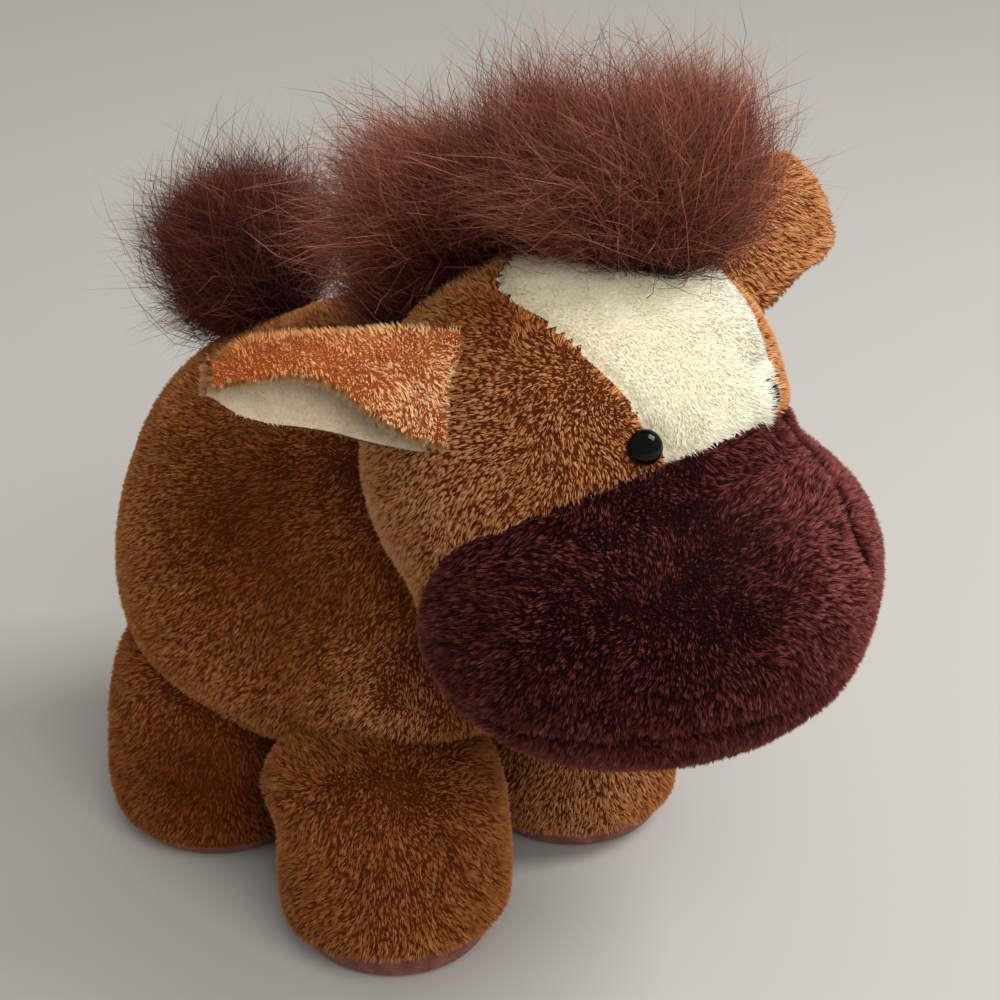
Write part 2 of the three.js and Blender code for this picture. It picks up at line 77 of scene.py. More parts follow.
# Legs: radius and height shares from the sole up
LEG_RADIUS, LEG_HEIGHT, LEG_IN, LEG_BACK = 22.5, 44.0, 3.0, 4.0
LEG_RADII = (0.77, 0.9, 0.985, 1.01, 0.985, 0.92, 0.8, 0.5)
LEG_HEIGHTS = (0.0, 0.05, 0.17, 0.32, 0.55, 0.76, 0.91, 1.0)
LEG_CAP = ((0.7, 0.975), (0.45, 1.03), (0.2, 1.055), (0.0, 1.06))
SOLE_SEAMS = {"front_left": 4.6, "front_right": 5.2, "rear_left": 4.4, "rear_right": 3.6}
SOLE_TILTS = {"front_left": 1.2, "front_right": 2.6, "rear_left": 0.4, "rear_right": 0.3}
SOLE_TURN = math.radians(-100)
SOLE_PROFILE = (
    (0.0, 0.0), (0.3, 0.0), (0.58, 0.0), (0.68, 0.005), (0.745, 0.05), (0.8, 0.18), (0.84, 0.38),
    (0.862, 0.58), (0.875, 0.78), (0.878, 0.92), (0.87, 1.02), (0.84, 1.1), (0.8, 1.14),
)
FRONT_FLARE, FLARE_TURN = 6.0, math.radians(136)
FEET = {
    "front_left": (28.2, 13.4), "front_right": (-28.2, 20.2),
    "rear_left": (28.2, -36.4), "rear_right": (-28.2, -36.4),
}

# Ears
EAR_LENGTH, EAR_DEPTH, EAR_GAP, EAR_FOLD, EAR_FABRIC, EAR_ROOM = 44.4, 21.0, 1.3, 5.0, 0.8, 0.3
EAR_TOP, EAR_LOW = (114.7, 54.3), (101.4, 32.6)
EAR_ARC = math.radians(100)
EARS = {
    "right": {
        "side": -1, "sweep": 28.0, "rise": 9.4,
        "front": (0.97, 0.93, 0.86, 0.7, 0.5, 0.37, 0.33, 0.33, 0.2),
        "back": (1.0, 1.0, 0.96, 0.88, 0.79, 0.73, 0.67, 0.56, 0.26),
        "lift": (0.0, 0.01, 0.01, -0.02, -0.05, -0.08, -0.12, -0.17, -0.34),
    },
    "left": {
        "side": 1, "sweep": 4.5, "rise": -1.0,
        "front": (0.88, 0.96, 0.99, 0.98, 0.95, 0.93, 0.98, 0.94, 0.62),
        "back": (0.95, 0.9, 0.84, 0.76, 0.68, 0.6, 0.52, 0.42, 0.26),
        "lift": (0.0, 0.13, 0.23, 0.29, 0.34, 0.39, 0.48, 0.47, 0.22),
    },
}
EAR_OPEN = (0.5, 0.62, 0.8, 0.95, 1.0, 1.0, 0.94, 0.82, 0.6)

# Mane: middle as side, ahead and up, half sizes of each tuft, fibres, spread of the roots, where
# the tips begin as a share of the half sizes, how far they fray, width and wave. The forelock's
# third tuft joins it to the poll, and its fourth hangs over the blaze
MANE = {
    "forelock": (
        ((8.5, 45.5, 157.0), (27.0, 22.5, 16.5), 27000, 0.42, 0.66, 0.2, 0.14, 0.12),
        ((24.0, 43.0, 161.0), (17.0, 18.0, 15.0), 7000, 0.5, 0.68, 0.2, 0.14, 0.14),
        ((2.0, 29.0, 157.0), (19.0, 18.0, 19.0), 15000, 0.5, 0.66, 0.2, 0.14, 0.1),
        ((13.0, 45.5, 146.5), (24.0, 12.0, 8.0), 8000, 0.6, 0.8, 0.1, 0.14, 0.2),
    ),
    "poll": (
        ((-6.0, 9.0, 146.0), (23.0, 24.0, 16.0), 22000, 0.6, 0.64, 0.21, 0.14, 0.1),
        ((-14.0, 3.0, 131.0), (11.0, 13.0, 13.0), 4500, 0.7, 0.75, 0.12, 0.14, 0.1),
    ),
}
# Painted shade and light on the mane, a dark hollow under the forelock and paler places on top:
# middle, width, strength
MANE_LIGHT_SHADE = (
    ((-11, -7, 135), 10, -1.0), ((2, -22, 140), 8, -0.6), ((-14, 8, 160), 12, 0.6),
    ((24, -38, 166), 13, 0.5),
)
HEM_AT, HEM_UP = np.array((1.5, -35.0, 140.6)), np.array((0.44, 0.199, 0.876))
LOCK, LOCK_PULL, LOCK_REACH, STRAYS = 0.26, 0.6, 0.4, 0.2
MANE_TOP, LONGEST_FRAY, OUTER_SHARE, INNER_REACH = 188, 0.66, 0.72, 0.4

# Tail
TAIL_ROOT = np.array((0.0, 58.849, 101.961))
TAIL_AXIS = np.array((0.0, 0.5, math.sqrt(0.75)))
TAIL_LENGTH = 36.5
TAIL_TUFTS = (
    (TAIL_ROOT + TAIL_AXIS * TAIL_LENGTH * 0.52, (24.0, 19.0, 19.5), 31000),
    (TAIL_ROOT + TAIL_AXIS * 6 + (-5.0, 2.0, 0), (18.0, 14.0, 11.0), 8000),
)
TAIL_LOW, TAIL_FRAY, TAIL_FOOT = 0.7, 0.17, (4.5, 4.5, 1.0)

# Fibres to a square millimetre, lengths, and how each pile differs from the plain one
BODY_FIBRES, HEAD_FIBRES, LEG_FIBRES, EAR_FIBRES = 9.0, 10.5, 9.4, 9.0
PLAIN_LENGTH, SNOUT_LENGTH, BLAZE_LENGTH, LASH_LENGTH = 1.15, 1.3, 1.1, 2.4
RIM_FIBRES, TIP_FIBRES = 3200, 1600
# The body and legs draw the brown plush darker, the cheeks paler, through tone, top and lift:
# painted shade and painted light on one plush
BODY_LOOK = {"tone": 0.45, "top": 0.78}
CHEEK_LOOK = {"tone": 0.58, "top": 1.08, "lift": 0.38}
BLAZE_LOOK = {
    "radius": 0.15, "cell": 0.5, "lean": 1.6, "patch": 0.08, "dome": 0.1, "pull": 0.28, "low": 0.68,
    "lift": 0.22, "vary": 0.2, "mess": 0.5,
}
MUZZLE_LOOK = {"radius": 0.12, "vary": 0.7, "top": 0.84, "lift": 0.28}
CHIN_LOOK = {**MUZZLE_LOOK, "top": 0.8}
EAR_LOOK = {"tone": 0.6, "length": 1.5, "top": 0.95, "lean": 0.7, "low": 0.15, "lift": 0.4}
# The near ear's pile is drawn paler as painted light, partly its brushing
NEAR_EAR_LOOK = {**EAR_LOOK, "tone": 0.8, "top": 1.1}
LINING_LOOK = {"length": 0.6, "lean": 1.0, "cell": 0.6, "patch": 0.08, "top": 0.95}
RIM_LOOK = {"tone": 0.8, "length": 1.5, "lean": 0.5, "low": 0.3, "lift": 0.3}

# Paler and darker spots of the pile, painted light and shade, partly where the pile is brushed up
# or down: middle, width, strength
BODY_NAP_LIGHT_SHADE = (
    ((-45, 51, 65), 15, 0.7), ((-38, 58, 84), 13, 0.6), ((-42, 28, 43), 11, 0.9),
    ((-30, -10, 52), 12, 1.9), ((-35, 16, 88), 15, -0.6), ((-35, 8, 70), 13, -0.6),
    ((-38, 27, 80), 13, -0.6), ((-8, 58, 100), 14, 0.5), ((-10, 30, 112), 14, 0.5),
)
CHEEK_NAP_LIGHT_SHADE = (
    ((-35, -34, 117), 14, 1.0), ((-37, -18, 98), 9, 0.7), ((-39, -39, 105), 9, 0.4),
    ((-20, -55, 124), 7, 0.5), ((-21, -30, 137), 10, -0.8),
)
# The blaze's spots are painted light on its right side and painted shadow under the mane
BLAZE_LIGHT_SHADE = (
    ((20, -50, 128), 13, 1.8), ((8, -66, 119), 8, 0.6), ((-15, -42, 138), 9, -1.0),
)
# The snout's paler spots on its right are painted light and sheen; its middle is painted shade
SNOUT_NAP_LIGHT_SHADE = (
    ((-10, -76, 100), 14, -0.5), ((-30, -70, 94), 12, -0.2), ((12, -84, 92), 12, 0.7),
    ((24, -70, 96), 12, 1.0), ((-20, -62, 107), 7, 0.3), ((0, -64, 113), 7, -0.3),
)
# The legs' strongest spots are painted light on the far front leg and painted shade on the rear leg
LEG_NAP_LIGHT_SHADE = (
    ((-36, -18, 41), 9, -0.4), ((-42, -25, 7), 9, 0.5), ((-44, 6, 22), 10, 0.5),
    ((-12, -25, 22), 9, 0.4), ((-14, 31, 20), 14, -1.1), ((-42, 32, 20), 16, -1.3),
    ((-48, 58, 25), 10, 0.3), ((14, -18, 14), 16, 2.6),
)

# Folds of the covers, and where the body hangs over the legs
BODY_FOLDS = (
    (((-33.6, 2.2, 62.7), (-34.9, 0.9, 59.2), (-35.1, -0.6, 55.7), (-34, -0.9, 49.8),
      (-31, -1, 44)), 1.2, 1.7),
    (((-41, 33, 39), (-39.2, 31.1, 37), (-35.8, 26.8, 35.5), (-31.6, 22.8, 34.5), (-29, 16, 36),
      (-30, 8, 39)), 1.2, 1.3),
)
BODY_SAGS = (
    ((-29, -13, 47), 10, 4.6), ((-18, -17, 46), 9, 3.0), ((-38, 2, 41), 8, 7.4),
    ((-35, 13, 38), 8, 7.4),
)
SNOUT_FOLD = (
    (-36.7, -72.6, 83.7), (-33.4, -75.4, 80.7), (-31.8, -75.4, 76.9), (-25.4, -77.1, 72.2),
    (-18.9, -77.3, 68.4),
)
SNOUT_CREASE = (1.6, 1.6)
SNOUT_SAGS = (((-34.4, -74.1, 79.4), 4, 0.9), ((14, -82, 74), 12, 1.0))

# Light and floor: each lamp's place, size and power
DAYLIGHT, SKY_STRENGTH = (1.0, 0.985, 0.96), 0.42
WINDOW, ROOM = ((0.47, -0.45, 0.83), 0.45, 6.8), ((-0.3, -0.95, 0.92), 0.9, 9.0)
LAMPS_AIM, FLOOR_HALF, FLOOR_COLOUR = (0, 0, 0.08), 4.0, (196, 194, 188)

# Camera, as the photograph was taken
CAMERA_AT = (-281.92, -307.19, 294.37)
CAMERA_TO = (-24.51, -35.75, 103.43)
CAMERA_LENS = 86.72


def unit(v):
    return v / np.maximum(np.linalg.norm(v, axis=-1, keepdims=True), 1e-9)


def hashed(cells, seed):
    """One number from 0 to 1 for each whole-numbered cell."""
    c = cells.astype(np.int64)
    h = c[:, 0] * 73856093 ^ c[:, 1] * 19349663 ^ c[:, 2] * 83492791 ^ seed * 2654435761
    h &= 0xFFFFFFFF
    for _ in range(2):
        h = ((h >> 16) ^ h) * 0x45D9F3B & 0xFFFFFFFF
    return ((h >> 16) ^ h) / 4294967296.0


def noise(points, scale, seed):
    """Smooth noise from -1 to 1 with features about `scale` across."""
    p = points / scale
    base = np.floor(p)
    f = p - base
    f = f * f * (3 - 2 * f)
    total = np.zeros(len(p))
    for corner in product((0, 1), repeat=3):
        x, y, z = np.where(corner, f, 1 - f).T
        total += x * y * z * hashed(base + corner, seed)
    return 2 * total - 1


def drift(points, scale, seeds):
    """Smooth noise along each of three directions."""
    return np.stack([noise(points, scale, SEED + i) for i in seeds], 1)


def tufts(points, cell, seed):
    """The nearest tuft's centre for each point, and a number from 0 to 1 for each tuft."""
    base = np.floor(points / cell)
    best = np.full(len(points), np.inf)
    centre = points.copy()
    key = np.zeros(len(points))
    for step in product((-1, 0, 1), repeat=3):
        at = base + step
        there = (at + np.stack([hashed(at, seed + i) for i in (1, 2, 3)], 1)) * cell
        far = ((points - there) ** 2).sum(1)
        near = far < best
        best[near] = far[near]
        centre[near] = there[near]
        key[near] = hashed(at, seed + 4)[near]
    return centre, key


def spline(values, count):
    """A smooth curve through rows of points."""
    v = np.asarray(values, float)
    t = np.linspace(0, len(v) - 1, count)
    i = np.minimum(t.astype(int), len(v) - 2)
    w = (t - i)[:, None] if v.ndim > 1 else t - i
    p0, p1, p2 = v[np.maximum(i - 1, 0)], v[i], v[i + 1]
    p3 = v[np.minimum(i + 2, len(v) - 1)]
    a, b = (p2 - p0) / 2, (p3 - p1) / 2
    return (2 * p1 - 2 * p2 + a + b) * w**3 + (3 * p2 - 3 * p1 - 2 * a - b) * w**2 + a * w + p1


def smooth_shares(shares, place):
    fine = spline(shares, 12 * len(shares))
    return np.interp(place, np.linspace(0, 1, len(fine)), fine)


class Form:
    """Ellipsoid lobes seen from one centre and softly blended where they meet."""

    def __init__(self, blend, *lobes):
        self.blend = blend
        self.lobes = [
            (np.array((0.0, SET_BACK - ahead, up)), np.array((w, length, h)) / 2)
            for w, length, h, ahead, up in lobes
        ]
        self.centre = np.mean([c for c, _ in self.lobes], axis=0)

    def reach(self, d):
        reaches = []
        for centre, half in self.lobes:
            f = (self.centre - centre) / half
            s = d / half
            a, b, c = (s * s).sum(1), s @ f, f @ f - 1
            reaches.append((np.sqrt(np.maximum(b * b - a * c, 0)) - b) / a)
        r = np.array(reaches)
        top = r.max(0)
        return top + self.blend * np.log(np.exp((r - top) / self.blend).sum(0))

    def at(self, d):
        return self.centre + d * self.reach(d)[:, None]

    def gap(self, p):
        """How far a point lies outside the form, measured from its centre."""
        v = p - self.centre
        n = np.linalg.norm(v, axis=1)
        return n - self.reach(v / n[:, None])


BODY = Form(BODY_BLEND, RUMP, CROUP, CHEST, BRISKET)
HEAD = Form(HEAD_BLEND, SKULL, MUZZLE)
SKULL_AT, SKULL_HALF = HEAD.lobes[0]


def heading(side, turn, rise):
    turn, rise = math.radians(turn), math.radians(rise)
    level = math.cos(rise)
    return np.array((side * level * math.sin(turn), -level * math.cos(turn), math.sin(rise)))


def surface(place, d, step=0.004):
    """Point and outward normal of the surface place(directions) along each direction."""
    side = unit(np.cross(d, np.where(np.abs(d[:, 2:]) < 0.9, (0, 0, 1.0), (1.0, 0, 0))))
    up = np.cross(side, d)
    p = place(d)
    n = np.cross(place(unit(d + side * step)) - p, place(unit(d + up * step)) - p)
    n = unit(n)
    return p, n * np.sign((n * d).sum(1))[:, None]


def polyline_gap(points, line):
    """Distance of flat points from a polyline."""
    best = np.full(len(points), np.inf)
    for a, b in zip(line[:-1], line[1:]):
        run = b - a
        t = np.clip((points - a) @ run / (run @ run), 0, 1)
        best = np.minimum(best, ((points - a - t[:, None] * run) ** 2).sum(1))
    return np.sqrt(best)


def bulge(p, at, width, height):
    return height * np.exp(-((p - at) ** 2).sum(1) / width**2)


def spots(p, table):
    """Sum of soft spots, each with a middle, a width and a strength."""
    return sum(bulge(p, at, width, strength) for at, width, strength in table)


def groove(gap, depth, width):
    return -depth * np.exp(-((gap / width) ** 2))


def seam_curve(aheads, others, middle, half):
    """A seam of the head, as a curve seen from above or from the side."""
    back = SKULL_AT[1] - np.array(aheads) * SKULL_HALF[1]
    return spline(np.stack([back, middle + np.array(others) * half], 1), 60)


BLAZE_LINES = {
    side: seam_curve(BLAZE_AHEADS, widths, 0, SKULL_HALF[0])
    for side, widths in BLAZE_WIDTHS.items()
}
SEAM_LINE = seam_curve(SEAM_AHEADS, SEAM_UPS, SKULL_AT[2], SKULL_HALF[2])
bridge = SEAM_LINE[0] + (SEAM_LINE[0] - SEAM_LINE[4]) * 12
SEAM_LINE = np.vstack([bridge, SEAM_LINE])


def blaze_side(p):
    """Positive inside the blaze, seen from above, in millimetres from its edge."""
    right, left = (
        np.interp(p[:, 1], line[:, 0], line[:, 1], right=-5)
        for line in BLAZE_LINES.values()
    )
    return np.where(p[:, 0] > 0, left, right) - np.abs(p[:, 0])


def muzzle_side(p):
    """Positive inside the muzzle, seen from the side."""
    order = np.argsort(SEAM_LINE[:, 1])
    back = np.interp(p[:, 2], SEAM_LINE[order, 1], SEAM_LINE[order, 0])
    return np.sign(back - p[:, 1]) * polyline_gap(p[:, 1:], SEAM_LINE)


def head_panel(p):
    """The panel of the head's cover that each point is on."""
    snout = muzzle_side(p) > 0
    blaze = (blaze_side(p) > 0) & (p[:, 2] > SKULL_AT[2] - BLAZE_LOW)
    cheek = np.where(p[:, 0] > 0, LEFT_CHEEK, RIGHT_CHEEK)
    front = np.where(p[:, 2] < CHIN_SEAM_UP, CHIN, SNOUT)
    return np.where(snout, front, np.where(blaze, BLAZE, cheek))


def eye_seat(name):
    d = heading(1 if name == "left" else -1, EYE_TURN, EYE_RISE)[None]
    p, n = surface(HEAD.at, d, 0.02)
    return p[0], n[0]


EYES = {name: eye_seat(name) for name in ("left", "right")}
EYE_SHADE = EYES["left"][0] + np.array((-0.87, -0.45, 0.18)) * 4.5


def leg_axis(name, z):
    x, ahead = FEET[name]
    side = math.copysign(1, x)
    return x - side * LEG_IN * z / LEG_HEIGHT, SET_BACK - ahead + LEG_BACK * z / LEG_HEIGHT


def leg_radius(z):
    fine = spline(np.stack([LEG_HEIGHTS, LEG_RADII], 1), 80)
    return np.interp(z / LEG_HEIGHT, fine[:, 0], fine[:, 1], right=0) * LEG_RADIUS


def leg_gap(name, p):
    x, y = leg_axis(name, p[:, 2])
    return np.hypot(p[:, 0] - x, p[:, 1] - y) - leg_radius(p[:, 2])


def body_place(d):
    p = BODY.at(d)
    swell = groove(p[:, 0], *BODY_SEAM) + spots(p, BODY_SAGS) + spots(p * (-1, 1, 1), BODY_SAGS)
    for line, depth, width in BODY_FOLDS:
        swell += groove(polyline_gap(p, spline(line, 24)), depth, width)
    for name in FEET:
        near = np.abs(leg_gap(name, p)) + 4 * (p[:, 2] > LEG_HEIGHT + 4)
        swell += groove(near, *LEG_SEAM)
    return p + d * swell[:, None]


DART = spline(DART_LINE, 24)


def head_place(d):
    p = HEAD.at(d)
    snout = muzzle_side(p)
    swell = groove(snout, *SNOUT_SEAM)
    front = np.clip((SKULL_AT[1] - 30 - p[:, 1]) / 25, 0, 1)
    swell -= 0.9 * (snout > 0) * front * np.clip((p[:, 0] + 10) / 25, 0, 1)
    swell += 0.5 * (snout > 0) * (1 - np.exp(-np.maximum(snout, 0) / 4)) * (1 - front)
    dart = (snout > 0) * (p[:, 1] < SKULL_AT[1])
    swell += groove(polyline_gap(p[:, [0, 2]], DART), *DART_GROOVE) * dart
    swell += groove(polyline_gap(p[:, [0, 2]], DART - DART_SHIFT), *DART_RIDGE) * dart
    swell += bulge(p, EYE_SHADE, 4.0, 2.2)
    inside = np.clip(blaze_side(p), 0, 6) / 6
    swell += 0.8 * inside * (snout < 0) * np.clip(p[:, 0] / 12, 0, 1)
    for side in (-1, 1):
        swell += bulge(p, (side * 26, SET_BACK - 56, 130), 13, 1.6)
    swell += bulge(p, (6, SET_BACK - 88, 68), 20, 1.8) + spots(p, SNOUT_SAGS)
    swell += groove(polyline_gap(p, spline(SNOUT_FOLD, 24)), *SNOUT_CREASE)
    for seat, _ in EYES.values():
        swell += groove(np.linalg.norm(p - seat, axis=1), *EYE_DIMPLE)
    swell += groove(blaze_side(p), *BLAZE_SEAM) * (snout < 0)
    chin = groove(p[:, 2] - CHIN_SEAM_UP, *CHIN_SEAM) * (snout > 0)
    swell += chin * np.clip((4 - p[:, 0]) / 20, 0.15, 1)
    return p + d * swell[:, None]


def placed(name, data):
    ob = bpy.data.objects.new(name, data)
    bpy.context.scene.collection.objects.link(ob)
    return ob


class Parts:
    """Points, triangles, map places and normals of one piece, gathered before its mesh."""

    def __init__(self):
        self.gathered, self.count = [], 0

    def add(self, points, faces, uvs, normals):
        points, uvs, normals = points.reshape(-1, 3), uvs.reshape(-1, 2), normals.reshape(-1, 3)
        self.gathered.append((points, faces + self.count, uvs, normals))
        self.count += len(points)

    def make(self, name, material, body, nodes):
        points, faces, uvs, normals = (np.concatenate(rows) for rows in zip(*self.gathered))
        used = np.zeros(len(points), bool)
        used[faces.ravel()] = True
        faces = (np.cumsum(used) - 1)[faces]
        points, uvs, normals = points[used], uvs[used], normals[used]
        me = bpy.data.meshes.new(name)
        me.vertices.add(len(points))
        me.vertices.foreach_set("co", (points * MM).astype(np.float32).ravel())
        me.loops.add(faces.size)
        me.loops.foreach_set("vertex_index", faces.astype(np.int32).ravel())
        me.polygons.add(len(faces))
        me.polygons.foreach_set("loop_start", np.arange(0, faces.size, 3, dtype=np.int32))
        me.polygons.foreach_set("use_smooth", np.ones(len(faces), bool))
        me.update(calc_edges=True)
        me.validate()
        corners = uvs[faces.ravel()].astype(np.float32).ravel()
        for layer in ("Tone", "OFBake"):
            me.uv_layers.new(name=layer).data.foreach_set("uv", corners)
        me.normals_split_custom_set_from_vertices(unit(normals).astype(np.float32))
        me.materials.append(material)
        ob = placed(name, me)
        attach(ob, body)
        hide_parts(*nodes)


def sphere(detail):
    bm = bmesh.new()
    bmesh.ops.create_icosphere(bm, subdivisions=detail, radius=1)
    points = np.array([v.co for v in bm.verts])
    faces = np.array([[v.index for v in f.verts] for f in bm.faces])
    bm.free()
    return unit(points), faces


def grid(rows, columns, closed):
    """Triangles of a grid of points, row by row, closed around if asked."""
    last = columns if closed else columns - 1
    r, c = np.meshgrid(np.arange(rows - 1), np.arange(last), indexing="ij")
    r, c = r.ravel(), c.ravel()
    n = (c + 1) % columns
    a, b = r * columns + c, r * columns + n
    d, e = (r + 1) * columns + c, (r + 1) * columns + n
    return np.vstack([np.stack([a, b, e], 1), np.stack([a, e, d], 1)])


def scattered(points, faces, density, rng):
    """Random spots on triangles: which face, and the three corner shares of each."""
    a, b, c = points[faces[:, 0]], points[faces[:, 1]], points[faces[:, 2]]
    area = np.linalg.norm(np.cross(b - a, c - a), axis=1) / 2
    count = (area * density + rng.random(len(area))).astype(int)
    which = np.repeat(np.arange(len(faces)), count)
    u, v = rng.random(len(which)), rng.random(len(which))
    flip = u + v > 1
    u[flip], v[flip] = 1 - u[flip], 1 - v[flip]
    return which, np.stack([1 - u - v, u, v], 1)


def cover_of(place, hidden, inside, density, rng):
    """The skin of the surface place(directions) and the roots of its pile, where they show."""
    dirs, faces = sphere(6)
    points, normals = surface(place, dirs)
    faces = faces[~hidden(points, inside)[faces].all(1)]
    which, shares = scattered(points, faces, density, rng)
    roots, out = surface(place, unit((dirs[faces[which]] * shares[:, :, None]).sum(1)))
    keep = ~hidden(roots, PILE_INSIDE)
    return points, faces, normals, roots[keep], out[keep]


def skin(parts, points, faces, normals):
    """The woven backing under the pile, drawn at the dark end of the tone map as painted shade
    between the fibres.
    """
    u = np.clip(0.5 + 0.15 * noise(points, 6, SEED), 0.1, 0.9)
    v = 0.05 + 0.03 * noise(points, 1.3, SEED + 1)
    parts.add(points, faces, np.stack([u, v], 1), normals)


def pile(parts, roots, normals, comb, rng, length=PLAIN_LENGTH, radius=0.13, lean=0.65, cell=0.72,
         pull=0.42, tone=0.5, patch=0.15, top=1.0, low=0.07, lift=0.32, mess=0.75, dome=1.0,
         nap_light_shade=0.0, vary=0.4):
    """Short tapering fibres that lean along comb and gather into small tufts, with painted shade at
    their roots and the tufts' edges, and paler or darker with painted light and shade, partly the
    pile's brushing.
    """
    n = len(roots)
    flat = comb - normals * (comb * normals).sum(1)[:, None]
    wander = drift(roots, 8, (11, 12, 13))
    wander += 0.9 * drift(roots, 3, (14, 15, 16))
    flat = flat + mess * wander
    flat -= normals * (flat * normals).sum(1)[:, None]
    centre, key = tufts(roots, cell, SEED + 21)
    away = np.minimum(np.linalg.norm(centre - roots, axis=1) / (0.75 * cell), 1)
    rim = np.clip((away - 0.58) / 0.42, 0, 1) ** 1.3
    soft = noise(roots, 9, SEED + 31)
    tilt = lean * (1 + 0.3 * soft + 0.5 * (key - 0.5))
    jitter = rng.normal(0, 0.13, (n, 3))
    axis = unit(normals + flat * tilt[:, None] + jitter)
    size = length * (0.75 + 0.5 * key) * rng.uniform(0.85, 1.1, n) * (1 - 0.55 * rim)
    towards = centre - roots
    towards -= normals * (towards * normals).sum(1)[:, None]
    swell = normals - towards * (dome / cell)
    tips = roots + axis * size[:, None] + towards * pull
    axis = unit(tips - roots)
    side = unit(np.cross(axis, rng.normal(size=(n, 3))))
    other = np.cross(axis, side)
    wide = radius * rng.uniform(0.75, 1.25, n)[:, None]
    points, shade, uv = (np.empty((n, 4, size)) for size in (3, 3, 2))
    for i, angle in enumerate((0, 2 * math.pi / 3, 4 * math.pi / 3)):
        out = side * math.cos(angle) + other * math.sin(angle)
        points[:, i] = roots + out * wide - normals * 0.25
        shade[:, i] = out * 0.35 + swell
    points[:, 3] = tips
    shade[:, 3] = axis * 0.3 + swell
    # Colour: tone along U, and along V from a dark root to the tip. The dark roots and darker tuft
    # edges are painted shade between the fibres; the nap term adds painted light and shade, partly
    # brushing
    u = tone + patch * noise(roots, 12, SEED + 41) + 0.1 * noise(roots, 4, SEED + 42)
    u = np.clip(u + 0.35 * (key - 0.5) + 0.25 * nap_light_shade + rng.normal(0, 0.07, n), 0.03, 0.97)
    shown = 0.9 + vary * (key - 0.5) - 0.75 * rim + 0.1 * noise(roots, 2.5, SEED + 43)
    v1 = np.clip(top * (1 + 0.34 * nap_light_shade) * (shown + rng.normal(0, 0.07, n)), 0.06, 0.98)
    uv[:, :, 0] = u[:, None] + np.array((-0.006, 0, 0.006, 0.001))
    uv[:, :3, 1] = (low + lift * top * (1 + 0.34 * nap_light_shade) * (1 - rim))[:, None]
    uv[:, 3, 1] = v1
    base = np.arange(n)[:, None] * 4
    faces = np.concatenate([base + (0, 1, 3), base + (1, 2, 3), base + (2, 0, 3)])
    parts.add(points, faces, uv, shade)


def fibres(parts, roots, starts, tips, rng, width=0.15, steps=5, wave=0.04, curl=0.5, low=0.05,
           tone=0.5, top=0.97, pale_share=0.12):
    """Long soft fibres from roots to tips, leaving along starts, darker towards the roots, partly
    painted shade.
    """
    n = len(roots)
    long = np.linalg.norm(tips - roots, axis=1)[:, None]
    mid = roots + (starts * curl + rng.normal(0, 0.16, (n, 3))) * long
    wave = wave * rng.uniform(0.3, 1.9, (n, 1))
    across = unit(np.cross(tips - roots, rng.normal(size=(n, 3))))
    other = unit(np.cross(tips - roots, across))
    phase, turns = rng.uniform(0, 6.28, (n, 1)), rng.uniform(2, 5, (n, 1))
    rows = []
    for i in range(steps + 1):
        s = i / steps
        p = roots * (1 - s) ** 2 + mid * 2 * s * (1 - s) + tips * s * s
        sway = across * np.sin(phase + turns * s) + other * np.cos(phase * 1.7 + turns * s * 0.8)
        rows.append(p + sway * long * wave * s)
    facing = unit(np.cross(tips - roots, rng.normal(size=(n, 3))))
    pale = rng.random(n) < pale_share
    wide = width * rng.uniform(0.7, 1.2, (n, 1)) * (1 + 0.15 * pale[:, None]) / 2
    u = tone + 0.12 * noise(tips, 9, SEED + 51) + rng.normal(0, 0.1, n) + 0.6 * pale
    u = np.clip(u, 0.03, 0.97)
    top = np.broadcast_to(top, (n,))
    count = 2 * steps + 1
    points, shade, uv = (np.empty((n, count, size)) for size in (3, 3, 2))
    for i in range(steps):
        s = i / steps
        run = unit(rows[i + 1] - rows[i])
        edge = unit(np.cross(run, facing)) * wide * (1 - 0.45 * s)
        face = np.cross(edge, run)
        points[:, 2 * i], points[:, 2 * i + 1] = rows[i] - edge, rows[i] + edge
        shade[:, 2 * i], shade[:, 2 * i + 1] = face - edge, face + edge
        uv[:, 2 * i, 0], uv[:, 2 * i + 1, 0] = u - 0.006, u + 0.006
        uv[:, 2 * i : 2 * i + 2, 1] = low + (top[:, None] - low) * s
    points[:, -1], shade[:, -1] = rows[-1], face
    uv[:, -1] = np.stack([u, top + 0.01], 1)
    base = np.arange(n)[:, None] * count
    faces = []
    for k in range(0, 2 * steps - 2, 2):
        faces += [base + (k, k + 1, k + 3), base + (k, k + 3, k + 2)]
    k = 2 * (steps - 1)
    faces.append(base + (k, k + 1, k + 2))
    parts.add(points, np.concatenate(faces), uv, shade)


def srgb(*values):
    return [((v / 255 + 0.055) / 1.055) ** 2.4 if v > 10 else v / 255 / 12.92 for v in values] + [1]


def blank(name):
    m = bpy.data.materials.new(name)
    m.use_nodes = True
    return m, m.node_tree.nodes, m.node_tree.nodes["Principled BSDF"]


def wire(m, *runs):
    """Join a material's nodes: each run is a node, its output, the next node and its input."""
    for source, output, target, socket in runs:
        m.node_tree.links.new(source.outputs[output], target.inputs[socket])


def dial(node, **values):
    """Set a node's sockets by name, with _ for each space, and give the node back."""
    for socket, value in values.items():
        node.inputs[socket.replace("_", " ")].default_value = value
    return node


def ramp(nodes, places, colours):
    r = nodes.new("ShaderNodeValToRGB")
    for i in (0, -1):
        end = r.color_ramp.elements[i]
        end.position, end.color = places[i], srgb(*colours[i])
    for place, colour in zip(places[1:-1], colours[1:-1]):
        r.color_ramp.elements.new(place).color = srgb(*colour)
    return r


